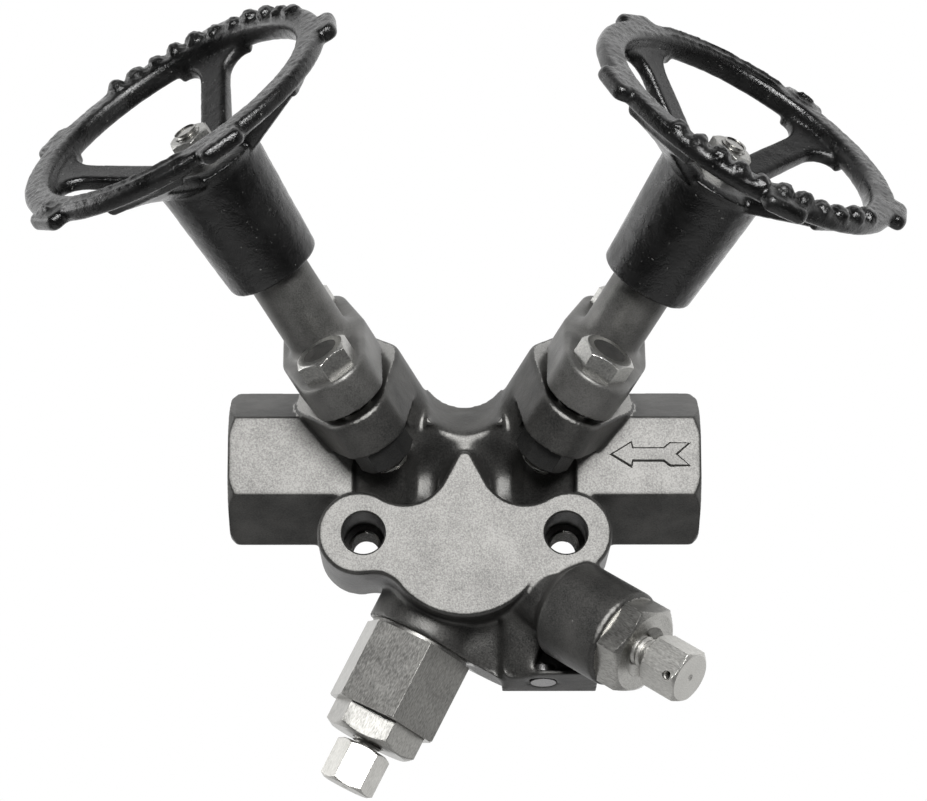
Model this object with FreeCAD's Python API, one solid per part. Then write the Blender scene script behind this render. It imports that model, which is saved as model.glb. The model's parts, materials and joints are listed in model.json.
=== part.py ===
import FreeCAD, Part
import math
import os
from FreeCAD import Vector

os.makedirs("parts", exist_ok=True)

# Steam trap valve station: one forged body that a steam trap bolts to, with a piston valve on the
# inlet side, a second one on the outlet side, a strainer with blowdown valve and a test valve.
# Frame: origin at the centre of the rear face that the trap seats on, X along the pipe from outlet
# to inlet, Y to the rear, Z up. All sizes are in mm.

# Pipe line through the body
face_to_face = 120.0
pipe_y = -18.0
pipe_z = 20.5
hex_flats = 34.8
hex_inner_x = 33.0
hex_corner_round = 0.9
hex_end_chamfer = 1.2
barrel_r = 15.3
port_thread_r = 12.05
port_thread_len = 19.0
port_mouth_r = 13.6
pipe_bore_r = 6.0

# Connector plate that carries the trap
plate_front_y = -40.0
ear_rear_y = -7.0
boss_r = 21.3
ear_r = 10.6
ear_x = 26.5
bolt_spacing = 50.8
ear_blend_r = 8.0
waist_r = 11.0
waist_z = 7.4
apex_r = 2.2
apex_z = 21.1
plate_edge = 0.7
trap_face_r = 20.6
trap_hole_front_r = 5.3
trap_hole_front_len = 19.0
trap_thread_r = 3.4
centre_port_r = 4.6
centre_port_len = 9.8
port_pocket_r = 6.2
port_pocket_len = 4.2
ring_port_in = 10.6
ring_port_out = 14.6
ring_port_depth = 4.5
gasket_recess_in = 7.2
gasket_recess_out = 17.4
gasket_recess_depth = 0.8

# Piston valves: where their stems cross the pipe line and how they lean
valve_x = 15.4
valve_splay = 36.0
valve_lean = 33.0
bolt_turn = 10.0

# Valve leg of the body, heights are measured along the stem from the pipe line
leg_r = 15.3
leg_top = 30.0
leg_flange_thick = 10.5
bonnet_bolt_offset = 18.5
leg_lobe_r = 9.0
leg_rim_round = 1.0
chamber_r = 9.5
chamber_floor = 8.0
seat_bore_r = 4.8
saddle_arc_r = 10.8
saddle_low = -8.0
saddle_front = -11.0
saddle_rear = 6.0

# Sealing rings, lantern bush and piston
ring_height = 4.5
lantern_height = 7.5
ring_fit = 0.05
piston_r = 6.0
piston_len = 21.0
lantern_wall = 1.6
lantern_lip = 1.2
lantern_gap = 0.4
lantern_windows = 6
lantern_window_r = 2.1

# Bonnet
bonnet_gap = 2.4
bonnet_flange_thick = 9.6
bonnet_mid_r = 12.0
bonnet_lobe_r = 9.5
bonnet_neck_r = 8.0
bonnet_neck_top = 73.0
bonnet_flare_r = 2.9
bonnet_cavity_r = 6.5
bonnet_cavity_top = 48.0

# Hexagon screws of the bonnet
screw_r = 4.0
screw_hole_r = 4.4
screw_flats = 13.0
screw_head = 5.3
screw_nut = 6.5
screw_tail = 2.2

# Stem, handwheel and travel
stem_r = 5.0
stem_fit = 0.07
journal_r = 3.0
journal_len = 8.0
journal_fit = 0.1
pin_r = 1.0
pin_depth = 0.25
pin_height = 3.0
pin_fit = 0.02
pin_room = 0.15
drive_flat = 3.2
drive_r = 4.0
drive_fit = 0.05
closed_skirt = 49.0
inlet_lift = 12.3
outlet_lift = 16.3
skirt_bottom_r = 12.3
skirt_top_r = 14.15
skirt_wall = 2.0
skirt_height = 34.0
hub_height = 35.5
hub_web = 9.0
hub_flange = 1.2
hub_boss_r = 9.5
rim_r = 42.5
rim_width = 7.3
rim_high = 50.2
rim_inner_low = 44.2
rim_outer_low = 46.0
rim_lip = 3.4
rim_round = 1.6
lobe_proud = 3.3
lobe_width = 12.0
lobe_corner_r = 2.2
lobe_count = 5
spoke_count = 4
spoke_turn = 38.0
spoke_width = 7.8
spoke_flare_r = 5.0
spoke_height = 5.2
spoke_tip_height = 3.9
spoke_drop = 2.4
spoke_round = 1.2
washer_r = 6.2
washer_thick = 1.2
wheel_nut_flats = 10.0
wheel_nut_height = 5.0
wheel_thread_r = 3.0
wheel_thread_proud = 1.4
inlet_wheel_turn = 9.0
outlet_wheel_turn = 50.0

# Strainer leg, strainer cap and blowdown valve, measured along the leg from its own start
strainer_x = 1.0
strainer_tilt = 27.0
strainer_leg_len = 27.2
strainer_leg_r = 14.5
strainer_foot = 25.5
strainer_foot_width = 18.0
strainer_foot_low = 8.0
strainer_bore_r = 8.2
strainer_bore_start = -5.0
cap_gasket = 1.0
cap_flats = 26.4
cap_len = 21.3
cap_turn = -14.0
cap_spigot_r = 10.4
cap_spigot_len = 11.5
cap_bore_r = 7.8
screen_r = 7.6
screen_wall = 0.5
screen_hole_r = 0.9
screen_hole_rows = 6
screen_hole_columns = 8
gland_flats = 21.8
gland_height = 6.8
gland_turn = 20.0
gland_spigot_r = 8.0
gland_spigot_len = 5.0

# Test valve leg
test_lean = 28.0
test_swing = 55.0
test_leg_len = 55.0
test_leg_r = 12.75
test_neck_r = 9.0
test_leg_step = 36.0
test_bore_r = 8.6
test_bore_len = 15.0
test_nut_flats = 21.4
test_nut_height = 6.6
test_nut_turn = 8.0
test_seat_height = 4.5

# Small ball and stem that both the blowdown valve and the test valve use
ball_r = 3.0
small_stem_r = 4.0
small_stem_fit = 0.07
small_stem_room = 0.6
small_head_flats = 12.7
small_head_len = 11.0
blowdown_gap = 1.6
test_gap = 3.4
blowdown_head_turn = 20.0
blowdown_drain_side = 150.0
test_head_turn = 12.0
test_drain_side = 90.0
drain_r = 1.25
seat_port_r = 2.2
seat_lip = 0.4
seat_cone = 2.4

# Web between the strainer leg and the test leg
web_left_x = 9.5
web_right_x = 33.6
web_top_z = -8.0
web_bottom_z = -37.0
web_front_z = -34.5
web_front_y = -31.0
web_rear_y = -17.0
web_lip = 1.2
pocket_width = 12.2
pocket_height = 10.0
pocket_lean = 4.2
pocket_depth = 6.0
plug_r = 3.2
plug_len = 4.0
plug_x = 19.9

# Common clearances
bore_gap = 0.1
thread_gap = 0.05
nut_room = 0.6


def cyl(r, low, high, x=0.0, y=0.0):
    return Part.makeCylinder(r, high - low, Vector(x, y, low))


def tube(outer, inner, low, high):
    return cyl(outer, low, high).cut(cyl(inner, low - 1.0, high + 1.0))


def spin(profile):
    # A closed profile of (radius, height) points turned about the local axis.
    points = [Vector(r, 0, h) for r, h in profile]
    face = Part.Face(Part.makePolygon(points + [points[0]]))
    return face.revolve(Vector(0, 0, 0), Vector(0, 0, 1), 360)


def hexagon(flats, low, high, turn=0.0):
    corner = flats / math.sqrt(3.0)
    points = []
    for k in range(6):
        angle = math.radians(60.0 * k + turn)
        points.append(Vector(corner * math.cos(angle), corner * math.sin(angle), low))
    face = Part.Face(Part.makePolygon(points + [points[0]]))
    return face.extrude(Vector(0, 0, high - low))


def hex_head(flats, low, high, turn=0.0, low_chamfer=False, high_chamfer=True):
    # Hexagon whose corners are turned off at 30 degrees, as bar stock leaves a lathe.
    corner = flats / math.sqrt(3.0)
    face_r = flats / 2.0 * 0.96
    rise = (corner + 0.2 - face_r) * math.tan(math.radians(30.0))
    profile = [(0.0, low)]
    if low_chamfer:
        profile += [(face_r, low), (corner + 0.2, low + rise)]
    else:
        profile += [(corner + 0.2, low)]
    if high_chamfer:
        profile += [(corner + 0.2, high - rise), (face_r, high)]
    else:
        profile += [(corner + 0.2, high)]
    profile += [(0.0, high)]
    return hexagon(flats, low, high, turn).common(spin(profile))


def oval(mid_r, end_r, offset, low, high):
    # Long flange: a middle circle and two end circles joined by their outer tangents.
    tilt = math.asin((mid_r - end_r) / offset)
    body = cyl(mid_r, low, high)
    for side in (-1.0, 1.0):
        body = body.fuse(cyl(end_r, low, high, side * offset, 0.0))
        points = []
        for edge in (1.0, -1.0):
            nx = math.sin(tilt)
            ny = edge * math.cos(tilt)
            inner = Vector(side * mid_r * nx, mid_r * ny, low)
            outer = Vector(side * (offset + end_r * nx), end_r * ny, low)
            points += [inner, outer] if edge > 0 else [outer, inner]
        face = Part.Face(Part.makePolygon(points + [points[0]]))
        body = body.fuse(face.extrude(Vector(0, 0, high - low)))
    return body.removeSplitter()


def frame(origin, z_axis, x_axis):
    # Placement whose local Z and X lie along the two given directions.
    z = Vector(z_axis).normalize()
    y = z.cross(x_axis).normalize()
    x = y.cross(z)
    matrix = FreeCAD.Matrix(x.x, y.x, z.x, origin.x,
                            x.y, y.y, z.y, origin.y,
                            x.z, y.z, z.z, origin.z, 0, 0, 0, 1)
    return FreeCAD.Placement(matrix)


def put(shape, placement):
    moved = shape.copy()
    moved.Placement = placement.multiply(moved.Placement)
    return moved


def valve_axis(side):
    splay = math.radians(valve_splay)
    lean = math.radians(valve_lean)
    return Vector(side * math.sin(splay) * math.cos(lean), -math.sin(lean),
                  math.cos(splay) * math.cos(lean))


def valve_front(side):
    # Direction across the stem that points to the front and down, square to the pipe.
    front = valve_axis(side).cross(Vector(1, 0, 0)).normalize()
    return front if front.y < 0 else front * -1.0


def valve_turned(side, angle):
    # A direction across the stem, turned from the front towards the pipe end.
    front = valve_front(side)
    outward = front.cross(valve_axis(side))
    if outward.x * side < 0:
        outward = outward * -1.0
    turn = math.radians(angle)
    return front * math.cos(turn) + outward * math.sin(turn)


def valve_frame(side, angle=-bolt_turn):
    origin = Vector(side * valve_x, pipe_y, pipe_z)
    return frame(origin, valve_axis(side), valve_turned(side, angle))


def pipe_frame(side):
    return frame(Vector(0, pipe_y, pipe_z), Vector(side, 0, 0), Vector(0, 0, 1))


def strainer_axis():
    tilt = math.radians(strainer_tilt)
    return Vector(-math.sin(tilt), 0, -math.cos(tilt))


def strainer_frame():
    return frame(Vector(strainer_x, pipe_y, 0), strainer_axis(), Vector(0, -1, 0))


def test_axis():
    lean = math.radians(test_lean)
    swing = math.radians(test_swing)
    return Vector(math.cos(lean) * math.sin(swing), -math.sin(lean),
                  -math.cos(lean) * math.cos(swing))


def test_frame():
    return frame(Vector(0, pipe_y, 0), test_axis(), Vector(0, 0, 1))


def rod(r, start, end):
    step = Vector(end) - Vector(start)
    return Part.makeCylinder(r, step.Length, Vector(start), step)


def hex_end(side):
    # Wrench hexagon of a pipe end with rounded corners and a turned end face.
    half = face_to_face / 2.0
    block = hexagon(hex_flats, hex_inner_x - 5.0, half)
    long_edges = [e for e in block.Edges if abs(e.tangentAt(e.FirstParameter).z) > 0.9]
    block = block.makeFillet(hex_corner_round, long_edges)
    corner = hex_flats / math.sqrt(3.0)
    turned = spin([(0, 0), (corner, 0), (corner, half - hex_end_chamfer * 1.6),
                   (corner - hex_end_chamfer * 1.8, half), (0, half)])
    return put(block.common(turned), pipe_frame(side))


def arc_points(cx, cz, r, start, end):
    mid = (start + end) / 2.0
    return [Vector(cx + r * math.cos(a), plate_front_y, cz + r * math.sin(a)) for a in (start, mid, end)]


def plate_outline():
    # Half outline from the bottom of the boss round the ear to the apex, then mirrored.
    far = boss_r + ear_blend_r
    near = ear_r + ear_blend_r
    bx = (ear_x ** 2 + far ** 2 - near ** 2) / (2.0 * ear_x)
    bz = -math.sqrt(far ** 2 - bx ** 2)
    boss_end = math.atan2(bz, bx)
    blend_start = boss_end + math.pi
    blend_end = math.atan2(-bz, ear_x - bx)
    ear_start = math.atan2(bz, bx - ear_x)
    wz = waist_z + waist_r
    wx = ear_x - math.sqrt((ear_r + waist_r) ** 2 - wz ** 2)
    ear_end = math.atan2(wz, wx - ear_x)
    waist_start = ear_end - math.pi
    tip_z = apex_z - apex_r
    gap = math.hypot(wx, wz - tip_z)
    lean = math.atan2(wz - tip_z, wx)
    swing = math.acos((waist_r + apex_r) / gap)
    tip_angle = lean + swing
    waist_end = tip_angle - math.pi
    pieces = [(0.0, 0.0, boss_r, -math.pi / 2.0, boss_end),
              (bx, bz, ear_blend_r, blend_start, blend_end),
              (ear_x, 0.0, ear_r, ear_start, ear_end),
              (wx, wz, waist_r, waist_start, waist_end),
              (0.0, tip_z, apex_r, tip_angle, math.pi / 2.0)]
    edges = []
    ends = []
    for piece in pieces:
        a, b, c = arc_points(*piece)
        edges.append(Part.Arc(a, b, c).toShape())
        ends.append((a, c))
    edges.append(Part.makeLine(ends[3][1], ends[4][0]))
    mirrored = [e.mirror(Vector(0, 0, 0), Vector(1, 0, 0)) for e in edges]
    return Part.Wire(Part.__sortEdges__(edges + mirrored))


def connector_plate():
    face = Part.Face(plate_outline())
    plate = face.extrude(Vector(0, ear_rear_y - plate_front_y, 0))
    front = [e for e in plate.Edges if e.BoundBox.YMax < plate_front_y + 0.01]
    plate = plate.makeChamfer(plate_edge, front)
    boss = rod(trap_face_r, (0, ear_rear_y - 2.0, 0), (0, 0, 0))
    return plate.fuse(boss)


def centre_ridge():
    # Rib that rises from the apex of the plate to the saddle between the two valve legs.
    side_view = [(-18.0, -4.0), (-38.0, -4.0), (-39.2, 6.0), (-37.0, 17.0), (-33.0, 26.0),
                 (-28.5, 31.5), (-18.0, 34.0)]
    points = [Vector(-7.0, y, z) for y, z in side_view]
    rib = Part.Face(Part.makePolygon(points + [points[0]])).extrude(Vector(14.0, 0, 0))
    edges = [e for e in rib.Edges
             if abs(e.tangentAt(e.FirstParameter).x) < 0.1 and e.BoundBox.YMax < -27.0]
    return rib.makeFillet(5.0, edges)


def saddle_web():
    # Cast web in the plane of the two stems, hollowed by one arc tangent to both legs.
    axis = valve_axis(1.0)
    rise = Vector(0, axis.y, axis.z).normalize()
    slope = math.atan2(axis.x, math.hypot(axis.y, axis.z))
    inner = (leg_r - valve_x * math.cos(slope)) / math.sin(slope)
    centre = inner + saddle_arc_r / math.sin(slope)
    touch = centre - saddle_arc_r * math.sin(slope)
    half = saddle_arc_r * math.cos(slope)
    flat = [Vector(-valve_x, saddle_front, saddle_low), Vector(valve_x, saddle_front, saddle_low),
            Vector(half, saddle_front, touch), Vector(-half, saddle_front, touch)]
    block = Part.Face(Part.makePolygon(flat + [flat[0]])).extrude(Vector(0, saddle_rear - saddle_front, 0))
    hollow = Part.makeCylinder(saddle_arc_r, 4.0 * leg_r, Vector(0, -2.0 * leg_r, centre), Vector(0, 1, 0))
    block = block.cut(hollow)
    return put(block, frame(Vector(0, pipe_y, pipe_z), rise, Vector(1, 0, 0)))


def valve_leg(side):
    # Round leg with an oval flange on top.
    core = cyl(leg_r, -2.0, leg_top - 1.0)
    flange = oval(leg_r, leg_lobe_r, bonnet_bolt_offset, leg_top - leg_flange_thick, leg_top)
    rim = [e for e in flange.Edges if e.BoundBox.ZMin > leg_top - 0.01]
    flange = flange.makeFillet(leg_rim_round, rim)
    return put(core.fuse(flange), valve_frame(side))


def nut_pocket(x):
    # Room for the nut and the screw's tail, with a flat on the leg side that keeps the nut from turning.
    under = leg_top - leg_flange_thick
    low = under - screw_nut - screw_tail - nut_room
    half = screw_flats / math.sqrt(3.0) + nut_room
    flat = bonnet_bolt_offset - screw_flats / 2.0 - bore_gap
    corner = Vector(flat, -half, low)
    room = cyl(half, low, under, abs(x), 0.0)
    room = room.common(Part.makeBox(4.0 * half, 2.0 * half, under - low, corner))
    room = room.fuse(Part.makeBox(bonnet_bolt_offset - flat, 2.0 * half, under - low, corner))
    if x < 0:
        room.rotate(Vector(0, 0, 0), Vector(0, 0, 1), 180.0)
    return room


def valve_leg_cuts(side):
    under = leg_top - leg_flange_thick
    cut = cyl(chamber_r, chamber_floor, leg_top + 1.0)
    cut = cut.fuse(cyl(seat_bore_r, 0.0, chamber_floor + 1.0))
    for side_x in (-1.0, 1.0):
        x = side_x * bonnet_bolt_offset
        cut = cut.fuse(cyl(screw_hole_r, under - 1.0, leg_top + 1.0, x, 0.0))
        cut = cut.fuse(nut_pocket(x))
    return put(cut, valve_frame(side))


def strainer_leg():
    # Round leg that widens to a foot towards the test valve, its end faced square for the cap.
    start = 2.0
    leg = cyl(strainer_leg_r, start, strainer_leg_len)
    foot = Part.makeBox(strainer_foot_width, strainer_foot, strainer_leg_len - strainer_foot_low,
                        Vector(-strainer_foot_width / 2.0, -strainer_foot, strainer_foot_low))
    edges = [e for e in foot.Edges
             if abs(e.tangentAt(e.FirstParameter).z) > 0.9 and e.BoundBox.YMax < -strainer_foot + 0.1]
    foot = foot.makeFillet(5.0, edges)
    return put(leg.fuse(foot), strainer_frame())


def test_leg():
    neck = cyl(test_neck_r, 8.0, test_leg_step + 1.0)
    shoulder = 3.0
    leg = spin([(0, test_leg_step - shoulder), (test_neck_r, test_leg_step - shoulder),
                (test_leg_r - 0.8, test_leg_step), (test_leg_r, test_leg_step + 0.8),
                (test_leg_r, test_leg_len - 0.8), (test_leg_r - 0.8, test_leg_len), (0, test_leg_len)])
    return put(neck.fuse(leg), test_frame())


def prism(points, step):
    return Part.Face(Part.makePolygon(points + [points[0]])).extrude(step)


def bottom_web():
    # Web between the strainer leg and the test leg. Its underside rises to the front, which has a pocket.
    depth = Vector(0, web_front_y - web_rear_y, 0)
    top = (web_left_x + web_right_x) / 2.0
    outline = [(web_left_x, web_top_z), (web_left_x, web_bottom_z), (web_right_x, web_bottom_z),
               (web_right_x, web_front_z + pocket_height), (top, web_top_z)]
    web = prism([Vector(x, web_rear_y, z) for x, z in outline], depth)
    side_view = [(web_rear_y, web_top_z), (web_rear_y, web_bottom_z), (web_front_y, web_front_z),
                 (web_front_y, web_top_z)]
    web = web.common(prism([Vector(0, y, z) for y, z in side_view], Vector(web_right_x + 1.0, 0, 0)))
    low = web_front_z + web_lip
    left = plug_x - plug_r + bore_gap
    inner = [(left, low), (left + pocket_width, low), (left + pocket_lean, low + pocket_height)]
    front = web_front_y - 1.0
    return web.cut(prism([Vector(x, front, z) for x, z in inner], Vector(0, pocket_depth + 1.0, 0)))


def passages():
    # Drilled and cored ways: pipe to valve, valve to strainer and trap, trap to outlet and test valve.
    half = face_to_face / 2.0
    cut = None
    for side in (-1.0, 1.0):
        way = spin([(0, valve_x - 2.0), (pipe_bore_r, valve_x - 2.0),
                    (pipe_bore_r, half - port_thread_len - 3.0),
                    (port_thread_r - 0.8, half - port_thread_len), (port_thread_r, half - port_thread_len),
                    (port_thread_r, half - 1.6), (port_mouth_r, half + 0.01), (0, half + 0.01)])
        way = put(way, pipe_frame(side))
        cut = way if cut is None else cut.fuse(way)
    window = chamber_floor + ring_height + lantern_height / 2.0
    inlet = Vector(valve_x, pipe_y, pipe_z) + valve_axis(1.0) * window
    outlet = Vector(-valve_x, pipe_y, pipe_z) + valve_axis(-1.0) * window
    turn_in = Vector(3.6, -26.5, 25.5)
    turn_out = Vector(-5.2, -26.0, 25.5)
    cut = cut.fuse(rod(3.0, inlet, turn_in)).fuse(rod(3.0, turn_in, Vector(3.6, -20.0, 4.0)))
    cut = cut.fuse(rod(3.0, outlet, turn_out)).fuse(rod(3.0, turn_out, Vector(-5.2, -3.0, 11.8)))
    for corner in (turn_in, turn_out):
        cut = cut.fuse(Part.makeSphere(3.0, corner))
    test_start = Vector(0, pipe_y, 0) + test_axis() * 33.0
    cut = cut.fuse(rod(2.2, test_start, Vector(10.4, -3.5, -7.3)))
    return cut


def connector_cuts():
    # Trap face: centre port that widens before the screen, ring port, gasket recess and bolt holes.
    cut = rod(centre_port_r, (0, -centre_port_len, 0), (0, 1.0, 0))
    pocket_end = (0, -centre_port_len - port_pocket_len, 0)
    cut = cut.fuse(rod(port_pocket_r, pocket_end, (0, -centre_port_len, 0)))
    ring = rod(ring_port_out, (0, -ring_port_depth, 0), (0, 1.0, 0))
    ring = ring.cut(rod(ring_port_in, (0, -ring_port_depth - 1.0, 0), (0, 2.0, 0)))
    recess = rod(gasket_recess_out, (0, -gasket_recess_depth, 0), (0, 1.0, 0))
    recess = recess.cut(rod(gasket_recess_in, (0, -2.0, 0), (0, 2.0, 0)))
    cut = cut.fuse(ring).fuse(recess)
    for side in (-1.0, 1.0):
        x = side * bolt_spacing / 2.0
        front_end = plate_front_y + trap_hole_front_len
        cut = cut.fuse(rod(trap_hole_front_r, (x, plate_front_y - 1.0, 0), (x, front_end, 0)))
        cut = cut.fuse(rod(trap_thread_r, (x, front_end - 1.0, 0), (x, ear_rear_y + 1.0, 0)))
    return cut


def strainer_cuts():
    cut = cyl(strainer_bore_r, strainer_bore_start, strainer_leg_len + 1.0)
    thread = cyl(cap_spigot_r + bore_gap, strainer_leg_len - cap_spigot_len - 0.5, strainer_leg_len + 1.0)
    return put(cut.fuse(thread), strainer_frame())


def test_cuts():
    floor = test_leg_len - test_bore_len
    cut = cyl(test_bore_r, floor, test_leg_len + 1.0)
    cut = cut.fuse(cyl(seat_port_r, 31.0, floor + 1.0))
    return put(cut, test_frame())


def plug_hole(extra=0.0):
    # The drilling stands square on the sloping underside of the web.
    slope = Vector(0, web_front_y - web_rear_y, web_front_z - web_bottom_z)
    inward = slope.cross(Vector(1, 0, 0)).normalize()
    inward = inward if inward.z > 0 else inward * -1.0
    foot = Vector(plug_x, web_rear_y, web_bottom_z) + slope * 0.5
    return rod(plug_r + extra, foot - inward * extra * 10.0, foot + inward * plug_len)


def station_body():
    body = rod(barrel_r, (-hex_inner_x, pipe_y, pipe_z), (hex_inner_x, pipe_y, pipe_z))
    adds = [hex_end(-1.0), hex_end(1.0), connector_plate(), centre_ridge(), saddle_web(), valve_leg(-1.0),
            valve_leg(1.0), strainer_leg(), test_leg(), bottom_web()]
    for shape in adds:
        body = body.fuse(shape)
    cuts = [passages(), valve_leg_cuts(-1.0), valve_leg_cuts(1.0), connector_cuts(), strainer_cuts(),
            test_cuts(), plug_hole(0.02)]
    for shape in cuts:
        body = body.cut(shape)
    return body


def sealing_ring(low):
    return tube(chamber_r - ring_fit, piston_r + ring_fit, low, low + ring_height)


def lantern_bush():
    low = chamber_floor + ring_height
    high = low + lantern_height
    outer = chamber_r - ring_fit
    bush = tube(outer, outer - lantern_wall, low + lantern_lip, high - lantern_lip)
    for edge in (low, high - lantern_lip):
        bush = bush.fuse(tube(outer, piston_r + lantern_gap, edge, edge + lantern_lip))
    middle = Vector(0, 0, (low + high) / 2.0)
    for k in range(lantern_windows):
        window = Part.makeCylinder(lantern_window_r, 12.0, middle, Vector(1, 0, 0))
        window.rotate(Vector(0, 0, 0), Vector(0, 0, 1), 360.0 / lantern_windows * k)
        bush = bush.cut(window)
    return bush


def bonnet():
    # Oval flange with a spigot that presses on the rings and a tall threaded neck for the stem.
    low = leg_top + bonnet_gap
    top = low + bonnet_flange_thick
    ring_top = chamber_floor + 2.0 * ring_height + lantern_height
    flange = oval(bonnet_mid_r, bonnet_lobe_r, bonnet_bolt_offset, low, top)
    flange = flange.makeFillet(1.2, [e for e in flange.Edges if e.BoundBox.ZMin > top - 0.01])
    flare = [(0.0, top - 1.0), (bonnet_neck_r + bonnet_flare_r, top - 1.0)]
    for k in range(7):
        angle = math.radians(90.0 * k / 6.0)
        flare.append((bonnet_neck_r + bonnet_flare_r * (1.0 - math.sin(angle)),
                      top + bonnet_flare_r * (1.0 - math.cos(angle))))
    flare += [(bonnet_neck_r, bonnet_neck_top - 1.0), (bonnet_neck_r - 1.0, bonnet_neck_top),
              (0.0, bonnet_neck_top)]
    shape = flange.fuse(spin(flare)).fuse(cyl(chamber_r - bore_gap, ring_top, low + 1.0))
    shape = shape.cut(cyl(bonnet_cavity_r, ring_top - 1.0, bonnet_cavity_top))
    shape = shape.cut(cyl(stem_r + stem_fit, bonnet_cavity_top - 1.0, bonnet_neck_top + 1.0))
    for side_x in (-1.0, 1.0):
        x = side_x * bonnet_bolt_offset
        shape = shape.cut(cyl(screw_hole_r, low - 1.0, top + 1.0, x, 0.0))
        spot = cyl(screw_flats / math.sqrt(3.0) + bore_gap, top, top + 10.0, x, 0.0)
        shape = shape.cut(spot)
    return shape


def bonnet_screws():
    top = leg_top + bonnet_gap + bonnet_flange_thick
    under = leg_top - leg_flange_thick
    screws = []
    for side_x in (-1.0, 1.0):
        x = side_x * bonnet_bolt_offset
        head = hex_head(screw_flats, top, top + screw_head, 30.0)
        shank = cyl(screw_r, under - screw_nut - screw_tail + 0.8, top + 1.0)
        tip = Part.makeCone(screw_r - 0.8, screw_r, 0.8, Vector(0, 0, under - screw_nut - screw_tail))
        screw = head.fuse(shank).fuse(tip)
        screw.translate(Vector(x, 0, 0))
        screws.append(screw)
    return Part.makeCompound(screws)


def bonnet_nuts():
    under = leg_top - leg_flange_thick
    nuts = []
    for side_x in (-1.0, 1.0):
        nut = hex_head(screw_flats, under - screw_nut, under, 30.0, low_chamfer=True, high_chamfer=False)
        nut = nut.cut(cyl(screw_r + thread_gap, under - screw_nut - 1.0, under + 1.0))
        nut.translate(Vector(side_x * bonnet_bolt_offset, 0, 0))
        nuts.append(nut)
    return Part.makeCompound(nuts)


# Everything that rises with the handwheel is drawn from the lower edge of its skirt.
piston_low = chamber_floor + 0.5 - closed_skirt
piston_top = piston_low + piston_len
pin_side = journal_r - pin_depth
pin_z = piston_top - journal_len + pin_height


def piston():
    body = cyl(piston_r, piston_low, piston_top)
    body = body.makeChamfer(0.8, [e for e in body.Edges if e.BoundBox.ZMax < piston_low + 0.01])
    body = body.cut(cyl(journal_r + journal_fit, piston_top - journal_len, piston_top + 1.0))
    for x in (-pin_side, pin_side):
        body = body.cut(rod(pin_r + pin_fit, (x, -piston_r - 1.0, pin_z), (x, piston_r + 1.0, pin_z)))
    return body


def piston_pins():
    length = math.sqrt(piston_r ** 2 - (pin_side + pin_r) ** 2) - 0.2
    pins = []
    for side_x in (-1.0, 1.0):
        x = side_x * pin_side
        pins.append(rod(pin_r, (x, -length, pin_z), (x, length, pin_z)))
    return Part.makeCompound(pins)


def drive_flats(half):
    # Slab between the two flats that turn the stem with the hub.
    low = hub_height - hub_web - 1.0
    return Part.makeBox(2.0 * half, 20.0, hub_web + 2.0, Vector(-half, -10.0, low))


def stem():
    # Journal in the piston, threaded length in the bonnet neck, two flats in the hub, screw end on top.
    drive_low = hub_height - hub_web
    proud = washer_thick + wheel_nut_height + wheel_thread_proud
    foot = piston_top - journal_len + 0.4
    shoulder = piston_top + 0.4
    groove_r = journal_r - pin_depth - pin_r - pin_room
    groove_low = pin_z - pin_r - pin_room
    groove_high = pin_z + pin_r + pin_room
    shape = spin([(0, foot), (journal_r, foot), (journal_r, groove_low), (groove_r, groove_low),
                  (groove_r, groove_high), (journal_r, groove_high), (journal_r, shoulder),
                  (stem_r - 0.6, shoulder), (stem_r, shoulder + 0.6), (stem_r, drive_low), (0, drive_low)])
    drive = cyl(drive_r, drive_low - 1.0, hub_height - 0.2).common(drive_flats(drive_flat))
    end = spin([(0, hub_height - 1.0), (wheel_thread_r, hub_height - 1.0),
                (wheel_thread_r, hub_height + proud - 0.6), (wheel_thread_r - 0.6, hub_height + proud),
                (0, hub_height + proud)])
    return shape.fuse(drive).fuse(end)


def wheel_hub():
    # Hub with the long tapered skirt that covers the bonnet neck.
    web_low = hub_height - hub_web
    return spin([(0.0, web_low), (skirt_top_r - skirt_wall - 0.6, web_low),
                 (skirt_bottom_r - skirt_wall, 0.8), (skirt_bottom_r - 0.9, 0.0),
                 (skirt_bottom_r, 0.7), (skirt_top_r, skirt_height - 2.0),
                 (skirt_top_r + hub_flange, skirt_height), (skirt_top_r - 1.0, hub_height - 0.4),
                 (hub_boss_r, hub_height), (0.0, hub_height)])


rim_inner_r = rim_r - rim_width
lobe_tip_r = rim_r + lobe_proud


def wheel_rim():
    # Rim that is deepest at its inner wall, with square lobes round its edge.
    reach = lobe_tip_r + 1.0
    step = rim_round * 0.3
    lip = rim_inner_r + rim_lip
    section = spin([(rim_inner_r, rim_inner_low + rim_round), (rim_inner_r + step, rim_inner_low + step),
                    (rim_inner_r + rim_round, rim_inner_low), (lip, rim_outer_low), (reach, rim_outer_low),
                    (reach, rim_high), (rim_inner_r + rim_round, rim_high),
                    (rim_inner_r + step, rim_high - step), (rim_inner_r, rim_high - rim_round)])
    plan = cyl(rim_r, rim_inner_low - 1.0, rim_high + 1.0)
    for k in range(lobe_count):
        lobe = Part.makeBox(lobe_tip_r - rim_inner_r, lobe_width, rim_high - rim_inner_low + 2.0,
                            Vector(rim_inner_r, -lobe_width / 2.0, rim_inner_low - 1.0))
        corners = [e for e in lobe.Edges
                   if abs(e.tangentAt(e.FirstParameter).z) > 0.9 and e.BoundBox.XMin > lobe_tip_r - 0.1]
        lobe = lobe.makeFillet(lobe_corner_r, corners)
        lobe.rotate(Vector(0, 0, 0), Vector(0, 0, 1), 360.0 / lobe_count * k)
        plan = plan.fuse(lobe)
    ring = section.common(plan.removeSplitter())
    outer = [e for e in ring.Edges if e.BoundBox.ZLength < 0.001 and reach_of(e) > lip + 0.5]
    return ring.makeFillet(rim_round, outer)


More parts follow.
